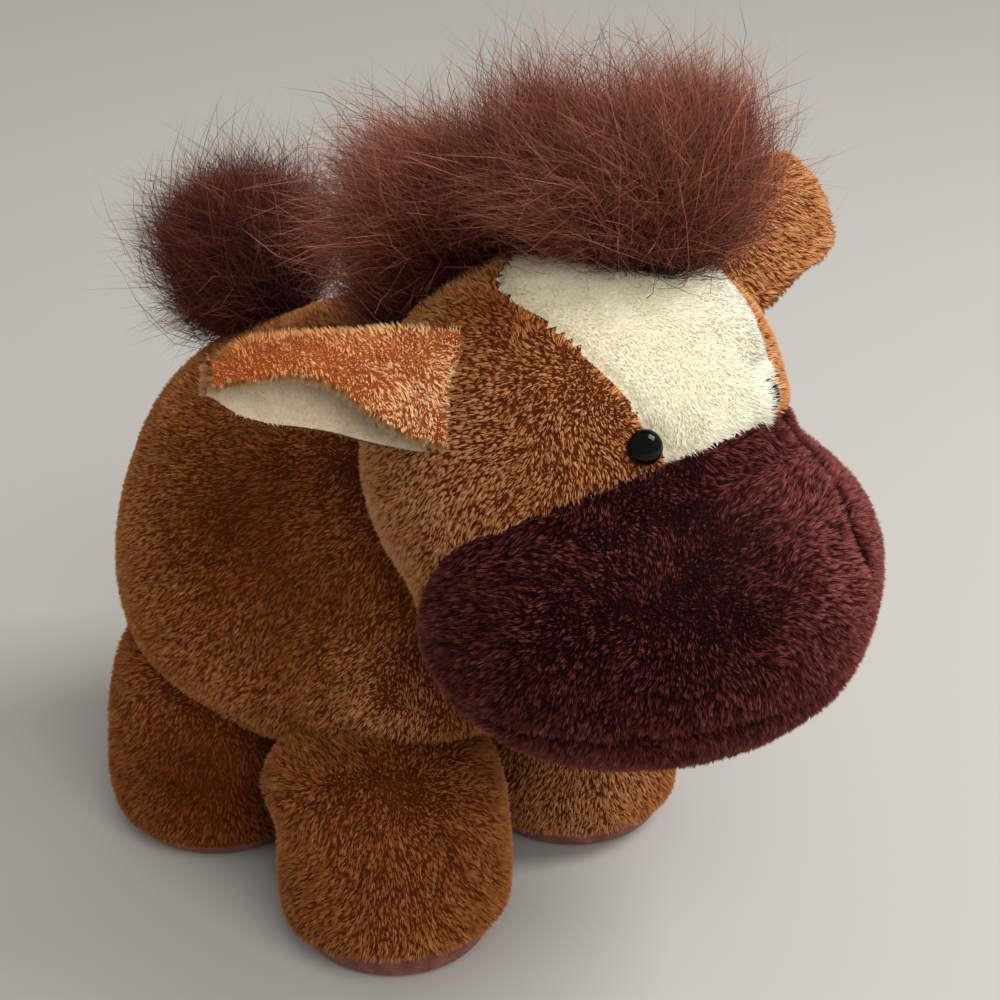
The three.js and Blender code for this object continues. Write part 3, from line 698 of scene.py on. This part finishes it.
def pile_material(name, places, low, high, sheen_tint, rough=0.82, sheen=0.3, level=0.25):
    """Colour from root to tip along V, between a low and a high tone along U; the dark root end of
    each ramp is painted shade deep in the pile.
    """
    m, nodes, shader = blank(name)
    place = nodes.new("ShaderNodeUVMap")
    place.uv_map = "Tone"
    split = nodes.new("ShaderNodeSeparateXYZ")
    cool, warm = ramp(nodes, places, low), ramp(nodes, places, high)
    mix = nodes.new("ShaderNodeMix")
    mix.data_type = "RGBA"
    speck = dial(nodes.new("ShaderNodeTexNoise"), Scale=38, Detail=2)
    spread = nodes.new("ShaderNodeMapRange")
    dial(spread, From_Min=0.3, From_Max=0.7, To_Min=0.88, To_Max=1.1)
    tint = nodes.new("ShaderNodeVectorMath")
    tint.operation = "SCALE"
    dial(shader, Roughness=rough, Specular_IOR_Level=level)
    dial(shader, Sheen_Weight=sheen, Sheen_Roughness=0.4, Sheen_Tint=srgb(*sheen_tint))
    wire(
        m, (place, "UV", split, 0), (split, "Y", cool, "Fac"), (split, "Y", warm, "Fac"),
        (split, "X", mix, "Factor"), (cool, "Color", mix, "A"), (warm, "Color", mix, "B"),
        (place, "UV", speck, "Vector"), (speck, "Fac", spread, "Value"), (mix, "Result", tint, 0),
        (spread, "Result", tint, "Scale"), (tint, 0, shader, "Base Color"),
    )
    return m


BROWN = pile_material(
    "brown plush", (0.0, 0.3, 0.6, 1.0),
    ((50, 18, 4), (118, 57, 20), (176, 102, 48), (228, 162, 108)),
    ((66, 26, 7), (150, 79, 32), (205, 128, 68), (246, 192, 140)),
    sheen_tint=(240, 166, 96), level=0.12,
)
DARK = pile_material(
    "dark plush", (0.0, 0.3, 0.6, 1.0),
    ((14, 3, 3), (42, 11, 11), (88, 36, 34), (148, 88, 84)),
    ((18, 5, 5), (56, 17, 16), (114, 51, 48), (176, 112, 106)),
    sheen=0.22, sheen_tint=(215, 120, 104), level=0.1,
)
CREAM = pile_material(
    "cream plush", (0.0, 0.35, 0.7, 1.0),
    ((214, 203, 168), (229, 219, 188), (237, 229, 200), (244, 238, 212)),
    ((226, 215, 182), (240, 232, 204), (249, 244, 220), (254, 250, 232)),
    sheen=0.05, sheen_tint=(240, 236, 225),
)
# The ears' lining: the cream pile drawn greyer and darker, partly as painted shade
LINING = pile_material(
    "ear lining plush", (0.0, 0.4, 0.8, 1.0),
    ((196, 178, 152), (214, 197, 170), (227, 211, 184), (234, 219, 194)),
    ((206, 188, 160), (224, 207, 179), (238, 222, 194), (243, 229, 203)),
    sheen=0.05, sheen_tint=(240, 236, 225),
)
# The near ear's outer pile: the brown plush drawn much paler, painted light on a flap facing the
# light, partly its brushing
BRUSHED_AND_LIT = pile_material(
    "brushed and lit brown plush", (0.0, 0.35, 0.7, 1.0),
    ((122, 54, 18), (192, 104, 48), (236, 160, 98), (252, 204, 152)),
    ((144, 68, 26), (214, 130, 68), (250, 190, 130), (255, 224, 182)),
    sheen_tint=(240, 170, 108),
)
HAIR = pile_material(
    "long pile", (0.0, 0.4, 0.8, 1.0),
    ((8, 2, 1), (34, 9, 5), (74, 25, 15), (108, 46, 31)),
    ((24, 6, 4), (104, 42, 27), (190, 106, 78), (240, 178, 150)),
    rough=0.6, sheen=0.0, sheen_tint=(190, 150, 135), level=0.3,
)


def suede_material():
    m, nodes, shader = blank("sole suede")
    place = nodes.new("ShaderNodeTexCoord")
    fine, broad = nodes.new("ShaderNodeTexNoise"), nodes.new("ShaderNodeTexNoise")
    dial(fine, Scale=2600, Detail=4)
    dial(broad, Scale=260, Detail=3)
    mix = nodes.new("ShaderNodeMath")
    mix.operation = "ADD"
    tone = ramp(nodes, (0.35, 0.5, 0.65), ((92, 48, 41), (122, 70, 61), (150, 96, 84)))
    half = nodes.new("ShaderNodeMath")
    half.operation, half.inputs[1].default_value = "MULTIPLY", 0.5
    bump = dial(nodes.new("ShaderNodeBump"), Strength=0.6, Distance=0.0002)
    dial(shader, Roughness=0.9, Sheen_Weight=0.3, Sheen_Tint=srgb(190, 140, 125))
    wire(
        m, (place, "Object", fine, "Vector"), (place, "Object", broad, "Vector"),
        (fine, "Fac", mix, 0), (broad, "Fac", mix, 1), (mix, 0, half, 0), (half, 0, tone, "Fac"),
        (tone, "Color", shader, "Base Color"), (fine, "Fac", bump, "Height"),
        (bump, "Normal", shader, "Normal"),
    )
    return m


def mottled(name, low, high, scale, rough, level=0.5):
    """A plain substance with a little mottling, for plastic and loose filling."""
    m, nodes, shader = blank(name)
    place = nodes.new("ShaderNodeTexCoord")
    n = dial(nodes.new("ShaderNodeTexNoise"), Scale=scale, Detail=3)
    tone = ramp(nodes, (0.3, 0.7), (low, high))
    spread = dial(nodes.new("ShaderNodeMapRange"), To_Min=rough[0], To_Max=rough[1])
    dial(shader, Specular_IOR_Level=level)
    wire(
        m, (place, "Object", n, "Vector"), (n, "Fac", tone, "Fac"),
        (tone, "Color", shader, "Base Color"), (n, "Fac", spread, "Value"),
        (spread, "Result", shader, "Roughness"),
    )
    return m


SUEDE = suede_material()
GLOSS = mottled("eye gloss", (3, 3, 4), (6, 6, 7), 400, (0.02, 0.06), 0.18)
PLASTIC = mottled("washer plastic", (214, 214, 210), (226, 226, 224), 500, (0.35, 0.5))
FILL = mottled("polyester filling", (226, 222, 212), (246, 243, 236), 900, (0.9, 1.0), 0.1)


def round_turns(columns):
    return np.linspace(0, 2 * math.pi, columns, endpoint=False)


def swept(p, vector):
    return np.tile(np.asarray(vector, float), (len(p), 1))


def body_hidden(p, margin):
    hidden = HEAD.gap(p) < -margin
    for name in FEET:
        hidden |= (leg_gap(name, p) < -margin) & (p[:, 2] > 0)
    return hidden


def head_hidden(p, margin):
    return BODY.gap(p) < -margin


def make_body():
    rng = np.random.default_rng(SEED + 100)
    shape = cover_of(body_place, body_hidden, SKIN_INSIDE, BODY_FIBRES, rng)
    points, faces, normals, roots, out = shape
    side = points[faces].mean(1)[:, 0] > 0
    for name, right in (("left", False), ("right", True)):
        parts = Parts()
        skin(parts, points, faces[side != right], normals)
        mine = (roots[:, 0] < 0) == right
        p = roots[mine]
        comb = swept(p, (0, 16.5, -30.0))
        comb[:, 0] = 0.15 * p[:, 0]
        # Painted light and shade on the body's pile, partly its brushing
        nap_light_shade = spots(p if right else p * (-1, 1, 1), BODY_NAP_LIGHT_SHADE)
        pile(parts, p, out[mine], unit(comb), rng, nap_light_shade=nap_light_shade, **BODY_LOOK)
        parts.make(f"body_{name}_plush", BROWN, "horse", [f"body_{name}_cover"])


def head_comb(p, panel):
    comb = swept(p, (0, 0.25, -1.0))
    comb[panel == BLAZE] = (0, -1.0, -0.55)
    comb[panel == SNOUT] = (0, 0.55, -0.8)
    comb[panel == CHIN] = (0, 1.0, -0.2)
    comb[:, 0] += 0.012 * p[:, 0]
    return unit(comb)


def make_head():
    rng = np.random.default_rng(SEED + 200)
    shape = cover_of(head_place, head_hidden, HEAD_INSIDE, HEAD_FIBRES, rng)
    points, faces, normals, roots, out = shape
    face_panel = head_panel(points[faces].mean(1))
    keep = np.ones(len(roots), bool)
    for seat, _ in EYES.values():
        keep &= np.linalg.norm(roots - seat, axis=1) > EYE_RADIUS + EYE_CLEAR
    roots, out = roots[keep], out[keep]
    panel = head_panel(roots)
    comb = head_comb(roots, panel)
    far = np.linalg.norm(roots - EYES["left"][0], axis=1) / LASH_REACH
    close = np.clip(1.4 - far, 0, 1) * (panel == BLAZE)
    comb = comb * (1 - close[:, None]) + close[:, None] * LASH_WAY
    looks = (
        ("head_left_plush", BROWN, "brown_plush", "head_left_cover", CHEEK_LOOK),
        ("head_right_plush", BROWN, "brown_plush", "head_right_cover", CHEEK_LOOK),
        ("blaze_plush", CREAM, "cream_plush", "blaze", BLAZE_LOOK),
        ("muzzle_plush", DARK, "dark_plush", "muzzle_cover", MUZZLE_LOOK),
        ("chin_plush", DARK, "dark_plush", "chin_cover", CHIN_LOOK),
    )
    for i, (name, material, slot, node, look) in enumerate(looks):
        parts = Parts()
        skin(parts, points, faces[face_panel == i], normals)
        mine = panel == i
        p = roots[mine]
        # Painted light and shade on each panel's pile, partly its brushing
        if i == BLAZE:
            nap_light_shade, length = spots(p, BLAZE_LIGHT_SHADE), BLAZE_LENGTH + LASH_LENGTH * close[mine]
        elif i in (SNOUT, CHIN):
            # Painted shade in the dart's groove: the pile there is drawn darker, and shorter
            dart = groove(polyline_gap(p[:, [0, 2]], DART), -1, DART_SHADE)
            dart *= p[:, 1] < SKULL_AT[1]
            nap_light_shade = spots(p, SNOUT_NAP_LIGHT_SHADE) - DART_DARKER * dart
            length = SNOUT_LENGTH * (1 - DART_SHORTER * dart)
        else:
            nap_light_shade = spots(p * (-1 if i == LEFT_CHEEK else 1, 1, 1), CHEEK_NAP_LIGHT_SHADE)
            length = PLAIN_LENGTH
        pile(parts, p, out[mine], comb[mine], rng, nap_light_shade=nap_light_shade, length=length, **look)
        parts.make(name, material, "horse", [node])


def leg_profile(name, place):
    """Radius and height on a leg's side, from the seam of its sole to the middle of its cap."""
    low = SOLE_SEAMS[name] / LEG_HEIGHT
    heights = (low, 0.17, 0.32, 0.45, 0.6, 0.76, 0.89)
    side = [(np.interp(h, LEG_HEIGHTS, LEG_RADII), h) for h in heights]
    fine = spline(side + list(LEG_CAP), 120) * (LEG_RADIUS, LEG_HEIGHT)
    run = np.concatenate([[0], np.cumsum(np.linalg.norm(np.diff(fine, axis=0), axis=1))])
    return [np.interp(place * run[-1], run, np.maximum(fine[:, i], 0)) for i in (0, 1)]


def leg_surface(name, turn, place):
    """Point and normal on a leg at a turn about its axis and a place up its side."""
    def at(turn, place):
        r, z = leg_profile(name, place)
        x, y = leg_axis(name, z)
        if name.startswith("front"):
            towards = FLARE_TURN if x[0] < 0 else math.pi - FLARE_TURN
            flare = np.maximum(np.cos(turn - towards), 0) ** 2
            flare = np.clip((z - 22) / 16, 0, 1) ** 1.5 * flare
            flare *= FRONT_FLARE * np.minimum(r / 12, 1)
            r, z = r + flare, z - 0.9 * flare
        z = z + SOLE_TILTS[name] * np.cos(turn - SOLE_TURN) * np.clip(1 - 4 * place, 0, 1)
        p = np.stack([x + r * np.cos(turn), y + r * np.sin(turn), z], 1)
        pinch = groove(np.maximum(BODY.gap(p), 0), *LEG_PINCH) * np.minimum(r / 6, 1)
        return p + np.stack([np.cos(turn), np.sin(turn), 0 * z], 1) * pinch[:, None]

    p = at(turn, place)
    step = np.where(place < 0.5, 0.004, -0.004)
    n = np.cross(at(turn + 0.01, place) - p, (at(turn, place + step) - p) * np.sign(step)[:, None])
    return p, unit(n)


def make_leg(name, order):
    rng = np.random.default_rng(SEED + 300 + order)
    rows, columns = 54, 72
    places = np.linspace(0, 0.985, rows)
    place, turn = np.meshgrid(places, round_turns(columns), indexing="ij")
    points, normals = leg_surface(name, turn.ravel(), place.ravel())
    faces = grid(rows, columns, True)
    away = (BODY.gap(points) < -SKIN_INSIDE) | (HEAD.gap(points) < -SKIN_INSIDE)
    faces = faces[~away[faces].all(1)]
    which, shares = scattered(points, faces, LEG_FIBRES, rng)
    row, column = (faces // columns)[which], (faces % columns)[which]
    column = np.where(column - column[:, :1] > columns / 2, column - columns, column)
    column = np.where(column[:, :1] - column > columns / 2, column + columns, column)
    t = (column * shares).sum(1) * 2 * math.pi / columns
    h = np.interp((row * shares).sum(1), np.arange(rows), places)
    roots, out = leg_surface(name, t, h)
    keep = (BODY.gap(roots) > -PILE_INSIDE) & (HEAD.gap(roots) > -PILE_INSIDE)
    roots, out = roots[keep], out[keep]
    parts = Parts()
    skin(parts, points, faces, normals)
    edge = np.clip((roots[:, 2] - SOLE_SEAMS[name]) / 3, 0, 1)
    comb = swept(roots, (0, 0.1, -1)) * (0.2 + 0.8 * edge[:, None])
    # Painted light and shade on the legs' pile, partly its brushing
    nap_light_shade, length = spots(roots, LEG_NAP_LIGHT_SHADE), 0.8 + 0.45 * edge
    pile(parts, roots, out, comb, rng, nap_light_shade=nap_light_shade, length=length, **BODY_LOOK)
    parts.make(f"{name}_leg_plush", BROWN, "horse", [f"{name}_leg_cover"])


def make_sole(name):
    """A flat pad with a rolled edge, drawn in a little at its seam."""
    columns = 96
    seam = SOLE_SEAMS[name]
    fine = spline(SOLE_PROFILE, 60) * (LEG_RADIUS, seam)
    turn = round_turns(columns)
    rings = []
    for r, z in fine:
        x, y = leg_axis(name, max(z, 0))
        pucker = 1 + 0.005 * np.sin(turn * 34) * (z / seam)
        x, y = x + r * pucker * np.cos(turn), y + r * pucker * np.sin(turn)
        height = np.maximum(z * (1 + SOLE_TILTS[name] / seam * np.cos(turn - SOLE_TURN)), 0)
        rings.append(np.stack([x, y, height], 1))
    points = np.concatenate(rings)
    faces = grid(len(rings), columns, True)
    a, b, c = (points[faces[:, i]] for i in range(3))
    face_normals = np.cross(b - a, c - a)
    normals = np.zeros_like(points)
    for i in range(3):
        np.add.at(normals, faces[:, i], face_normals)
    parts = Parts()
    spread = np.stack([points[:, 0] * 0.01, points[:, 1] * 0.01 + points[:, 2] * 0.004], 1)
    live = np.linalg.norm(face_normals, axis=1) > 1e-9
    parts.add(points, faces[live], spread, normals + (0, 0, -1e-6))
    parts.make(f"{name}_sole_pad", SUEDE, "horse", [f"{name}_sole"])


def ear_frame(name):
    e = EARS[name]
    top = HEAD.at(heading(e["side"], *EAR_TOP)[None])[0]
    low = HEAD.at(heading(e["side"], *EAR_LOW)[None])[0]
    along = heading(e["side"], 90 + e["sweep"], e["rise"])
    down = low - top
    down = unit(down - along * (down @ along))
    front = np.cross(down, along) * e["side"]
    return top, along, down, front


def ear_place(name, place, across, depth):
    e = EARS[name]
    top, along, down, front = ear_frame(name)
    angle = np.abs(across) * EAR_ARC
    shares = np.where(across < 0, smooth_shares(e["front"], place), smooth_shares(e["back"], place))
    flap = shares * EAR_DEPTH - depth
    drop = depth - smooth_shares(e["lift"], place) * EAR_DEPTH
    drop = drop + flap * (1 - np.cos(angle)) / (1 - math.cos(EAR_ARC))
    opening = (smooth_shares(EAR_OPEN, place) * EAR_FOLD - depth) * np.sin(angle)
    opening = np.where(across < 0, opening, -opening)
    run = EAR_GAP + place * (EAR_LENGTH - EAR_GAP)
    return top + along * run[:, None] + down * drop[:, None] + front * opening[:, None]


def ear_surface(name, place, across, depth, outward):
    p = ear_place(name, place, across, depth)
    a = ear_place(name, place + 0.01, across, depth) - p
    b = ear_place(name, place, across + 0.01, depth) - p
    n = unit(np.cross(a, b)) * EARS[name]["side"] * outward
    return p, n


def ear_rim(name, rng):
    """Places on the cut edges of an ear, and the way out of each."""
    back = 0 if name == "right" else RIM_FIBRES
    runs = ((RIM_FIBRES, None, -1.0, -0.97), (back, None, 1.0, 0.97), (TIP_FIBRES, 1.0, None, None))
    roots, outs = [], []
    for count, place, across, inner in runs:
        s = rng.random(count) if place is None else np.full(count, place)
        a = rng.uniform(-1, 1, count) if across is None else np.full(count, across)
        s2 = s if place is None else s - 0.03
        a2 = a if inner is None else np.full(count, inner)
        depth = rng.uniform(0, 1.5 * EAR_FABRIC, count)
        edge = ear_place(name, s, a, depth)
        roots.append(edge)
        outs.append(unit(edge - ear_place(name, s2, a2, depth)))
    roots, outs = np.concatenate(roots), np.concatenate(outs)
    keep = HEAD.gap(roots) > EAR_OUTSIDE
    return roots[keep], outs[keep]


def make_ear(name):
    rng = np.random.default_rng(SEED + 400 + EARS[name]["side"])
    rows, columns = 40, 56
    steps = np.linspace(0, 1, rows), np.linspace(-1, 1, columns)
    place, across = (a.ravel() for a in np.meshgrid(*steps, indexing="ij"))
    faces = grid(rows, columns, False)
    sides = (faces, faces[:, ::-1]) if EARS[name]["side"] < 0 else (faces[:, ::-1], faces)
    near_ear = name == "right"
    cover, outer = (BRUSHED_AND_LIT, NEAR_EAR_LOOK) if near_ear else (BROWN, EAR_LOOK)
    inside = EAR_FABRIC + EAR_ROOM
    layers = (
        ("outer", cover, "brown_plush", 0.0, EAR_FABRIC, 1, outer),
        ("lining", LINING, "cream_plush", inside, 2 * EAR_FABRIC + EAR_ROOM, -1, LINING_LOOK),
    )
    for layer, material, slot, near, far, shown, look in layers:
        parts = Parts()
        first, n1 = ear_surface(name, place, across, near, 1)
        second, n2 = ear_surface(name, place, across, far, -1)
        skin(parts, first, sides[0], n1)
        skin(parts, second, sides[1], n2)
        depth, base = (near, first) if shown > 0 else (far, second)
        which, shares = scattered(base, faces, EAR_FIBRES, rng)
        f = faces[which]
        s, a = (place[f] * shares).sum(1), (across[f] * shares).sum(1)
        roots, out = ear_surface(name, s, a, np.full(len(s), depth), shown)
        keep = HEAD.gap(roots) > EAR_OUTSIDE
        _, along, down, _ = ear_frame(name)
        comb = swept(roots, down * 0.8 + along * 0.35)
        s, a = s[keep], a[keep]
        if shown > 0 and near_ear:
            # The near ear: paler at its base and low front and darker towards its tip, painted
            # light and shade, partly its brushing
            low_front = np.clip(-a, 0, 1) * np.clip(1 - s / 0.55, 0, 1)
            nap_light_shade, length = 0.3 - 1.7 * s + 1.5 * low_front, 1.25 + 1.2 * low_front
            look = {**look, "nap_light_shade": nap_light_shade, "length": length}
        elif shown > 0:
            # The far ear's pile is darker along its fold, painted shade in a crease that is not
            # shaped, and paler elsewhere
            crease = np.exp(-(((a + 0.05) / 0.3) ** 2))
            look = {**look, "nap_light_shade": 0.5 - 2.4 * crease * np.clip(1.6 - 1.7 * s, 0, 1)}
        pile(parts, roots[keep], out[keep], comb[keep], rng, **look)
        if shown > 0:
            roots, out = ear_rim(name, rng)
            pile(parts, roots, out, out + along, rng, **RIM_LOOK)
        node = f"ear_{name}_{layer}"
        parts.make(f"{node}_plush", material, f"ear_{name}", [node])


def make_eye(name):
    seat, normal = EYES[name]
    columns = 64
    angles = np.linspace(0, math.pi / 2, 20)
    dome = [(EYE_RADIUS * math.cos(a), 0.8 + (EYE_HEIGHT - 0.5) * math.sin(a)) for a in angles]
    t = round_turns(columns)
    rings = [
        np.stack([r * np.cos(t), r * np.sin(t), np.full(columns, z)], 1)
        for r, z in (*EYE_STEM, *dome)
    ]
    points = np.concatenate(rings)
    faces = grid(len(rings), columns, True)
    q = Vector((0, 0, 1)).rotation_difference(Vector(normal))
    points = points @ np.array(q.to_matrix()).T + seat - normal * EYE_SUNK
    me = bpy.data.meshes.new(f"eye_{name}_button")
    me.from_pydata((points * MM).tolist(), [], faces.tolist())
    bm = bmesh.new()
    bm.from_mesh(me)
    bmesh.ops.remove_doubles(bm, verts=bm.verts, dist=1e-6)
    bmesh.ops.recalc_face_normals(bm, faces=bm.faces)
    bm.to_mesh(me)
    bm.free()
    me.shade_smooth()
    me.materials.append(GLOSS)
    ob = placed(f"eye_{name}_button", me)
    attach(ob, "horse")
    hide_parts(f"eye_{name}")


def frayed(count, rng, low, fray):
    """How far each fibre reaches: most to the outside of the tuft, ever fewer beyond it."""
    out = low + np.minimum(fray * rng.exponential(size=(count, 1)), LONGEST_FRAY)
    outer = rng.random((count, 1)) < OUTER_SHARE
    return np.where(outer, out, rng.uniform(INNER_REACH, low, (count, 1)))


def below_hem(p, rng):
    """How far each point lies below the sloping hem of the forelock."""
    return np.maximum((HEM_AT - p) @ HEM_UP + rng.normal(0, 1.0, len(p)), 0)[:, None]


def locks(e, count, rng, low, fray, seed):
    """Reach of each fibre along e, in locks of their own length and tone, some astray."""
    middle, key = tufts(e, LOCK, seed)
    long = frayed(count, rng, low, fray) * (1 + LOCK_REACH * (key[:, None] - 0.5))
    stray = rng.random((count, 1)) < STRAYS
    bent = unit(e + rng.normal(0, 0.34, e.shape))
    way = np.where(stray, bent, e + (unit(middle) - e) * LOCK_PULL)
    return way * long, key + 0.5 * (stray[:, 0] * rng.random(count))


def tuft_of(centre, half, count, rng, spread, low, fray, hem):
    """Fibres that leave the head under a lobe of the mane and fan out to its outside."""
    e = unit(rng.normal(size=(count, 3)))
    reach, key = locks(e, count, rng, low, fray, SEED + 61)
    tips = centre + reach * half
    tips += 2.4 * drift(tips, 14, (65, 66, 67))
    tips += 1.2 * drift(tips, 5, (62, 63, 64))
    foot = centre + e * half * spread * rng.uniform(0.2, 1.0, (count, 1))
    foot += rng.normal(0, 2.0, foot.shape)
    if hem:
        tips += below_hem(tips, rng) * HEM_UP
        foot += below_hem(foot + (0, 0, -4), rng) * (1.9, 0.5, 0)
    d = unit(foot - HEAD.centre)
    roots, out = surface(HEAD.at, d)
    keep = (HEAD.gap(tips) > 0.6) & (BODY.gap(tips) > 0.6) & (tips[:, 2] < MANE_TOP)
    if hem:
        keep &= (roots - HEM_AT) @ HEM_UP > -1.0
    return roots[keep], out[keep], tips[keep], key[keep]


def make_mane():
    rng = np.random.default_rng(SEED + 500)
    for name, groups in MANE.items():
        parts = Parts()
        for middle, half, count, spread, low, fray, width, wave in groups:
            middle = np.array((middle[0], SET_BACK - middle[1], middle[2]))
            half = np.array(half)
            hem = name == "forelock"
            roots, out, tips, key = tuft_of(middle, half, count, rng, spread, low, fray, hem)
            start = unit(out + 0.45 * rng.normal(size=out.shape))
            # The mane's painted shade and light: the tone shifts, and the tips end darker in the
            # shaded hollow
            nap_light_shade = spots(tips, MANE_LIGHT_SHADE)
            fibres(parts, roots, start, tips, rng, width=width, wave=wave,
                   tone=0.05 + 0.32 * key + 0.22 * nap_light_shade, top=0.97 + 0.5 * np.minimum(nap_light_shade, 0))
        parts.make(f"mane_{name}", HAIR, "horse", ["mane"])


def make_tail():
    rng = np.random.default_rng(SEED + 600)
    parts = Parts()
    across = np.cross(TAIL_AXIS, (1.0, 0, 0))
    axes = np.stack([(1.0, 0, 0), across, TAIL_AXIS])
    for middle, half, count in TAIL_TUFTS:
        half = np.array(half)
        e = unit(rng.normal(size=(count, 3)))
        reach, key = locks(e, count, rng, TAIL_LOW, TAIL_FRAY, SEED + 71)
        tips = middle + (reach * half) @ axes
        tips += 1.8 * drift(tips, 8, (72, 73, 74))
        spread = unit(rng.normal(size=(count, 3))) * TAIL_FOOT
        foot = TAIL_ROOT + TAIL_AXIS * 1.2 + spread @ axes
        keep = BODY.gap(tips) > 1.0
        foot, tips, key = foot[keep], tips[keep], key[keep]
        start = unit(TAIL_AXIS + 0.8 * rng.normal(size=foot.shape))
        fibres(parts, foot, start, tips, rng, wave=0.1, tone=0.1 * key, top=0.9, pale_share=0.07)
    parts.make("tail_tuft", HAIR, "tail", ["tail"])


def make_camera():
    data = bpy.data.cameras.new("camera")
    data.sensor_width = 36
    data.lens = CAMERA_LENS
    data.clip_start, data.clip_end = 0.01, 20
    ob = placed("camera", data)
    at, to = Vector(CAMERA_AT) * MM, Vector(CAMERA_TO) * MM
    ob.location = at
    ob.rotation_mode = "QUATERNION"
    ob.rotation_quaternion = (to - at).to_track_quat("-Z", "Y")
    bpy.context.scene.camera = ob


def make_lamp(name, at, size, power):
    data = bpy.data.lights.new(name, "AREA")
    data.shape, data.size, data.energy, data.color = "SQUARE", size, power, DAYLIGHT
    ob = placed(name, data)
    ob.location = at
    ob.rotation_euler = (Vector(LAMPS_AIM) - Vector(at)).to_track_quat("-Z", "Y").to_euler()
    return ob


def make_studio():
    me = bpy.data.meshes.new("floor")
    s = FLOOR_HALF
    me.from_pydata([(-s, -s, 0), (s, -s, 0), (s, s, 0), (-s, s, 0)], [], [(0, 1, 2, 3)])
    m, _, shader = blank("floor")
    dial(shader, Base_Color=srgb(*FLOOR_COLOUR), Roughness=0.9)
    me.materials.append(m)
    ob = placed("floor", me)
    world = bpy.data.worlds.new("studio")
    world.use_nodes = True
    dial(world.node_tree.nodes["Background"], Color=(*DAYLIGHT, 1), Strength=SKY_STRENGTH)
    bpy.context.scene.world = world
    make_lamp("window", *WINDOW)
    make_lamp("room", *ROOM).visible_glossy = False


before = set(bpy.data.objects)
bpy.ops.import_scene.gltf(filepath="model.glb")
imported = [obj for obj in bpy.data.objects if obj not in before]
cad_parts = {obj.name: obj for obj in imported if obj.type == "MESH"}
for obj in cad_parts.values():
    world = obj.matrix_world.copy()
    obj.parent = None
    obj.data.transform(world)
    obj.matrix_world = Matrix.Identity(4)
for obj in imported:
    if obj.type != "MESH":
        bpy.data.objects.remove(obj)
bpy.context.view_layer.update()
bpy.context.scene.view_settings.view_transform = "Standard"
make_camera()
make_studio()
make_body()
make_head()
for index, foot_name in enumerate(FEET):
    make_leg(foot_name, index)
    make_sole(foot_name)
for ear_name in EARS:
    make_ear(ear_name)
for eye_name in EYES:
    make_eye(eye_name)
make_mane()
make_tail()
for node_name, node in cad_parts.items():
    if "stuffing" in node_name or "washer" in node_name:
        for slot in node.material_slots:
            slot.link = "OBJECT"
            slot.material = FILL if "stuffing" in node_name else PLASTIC
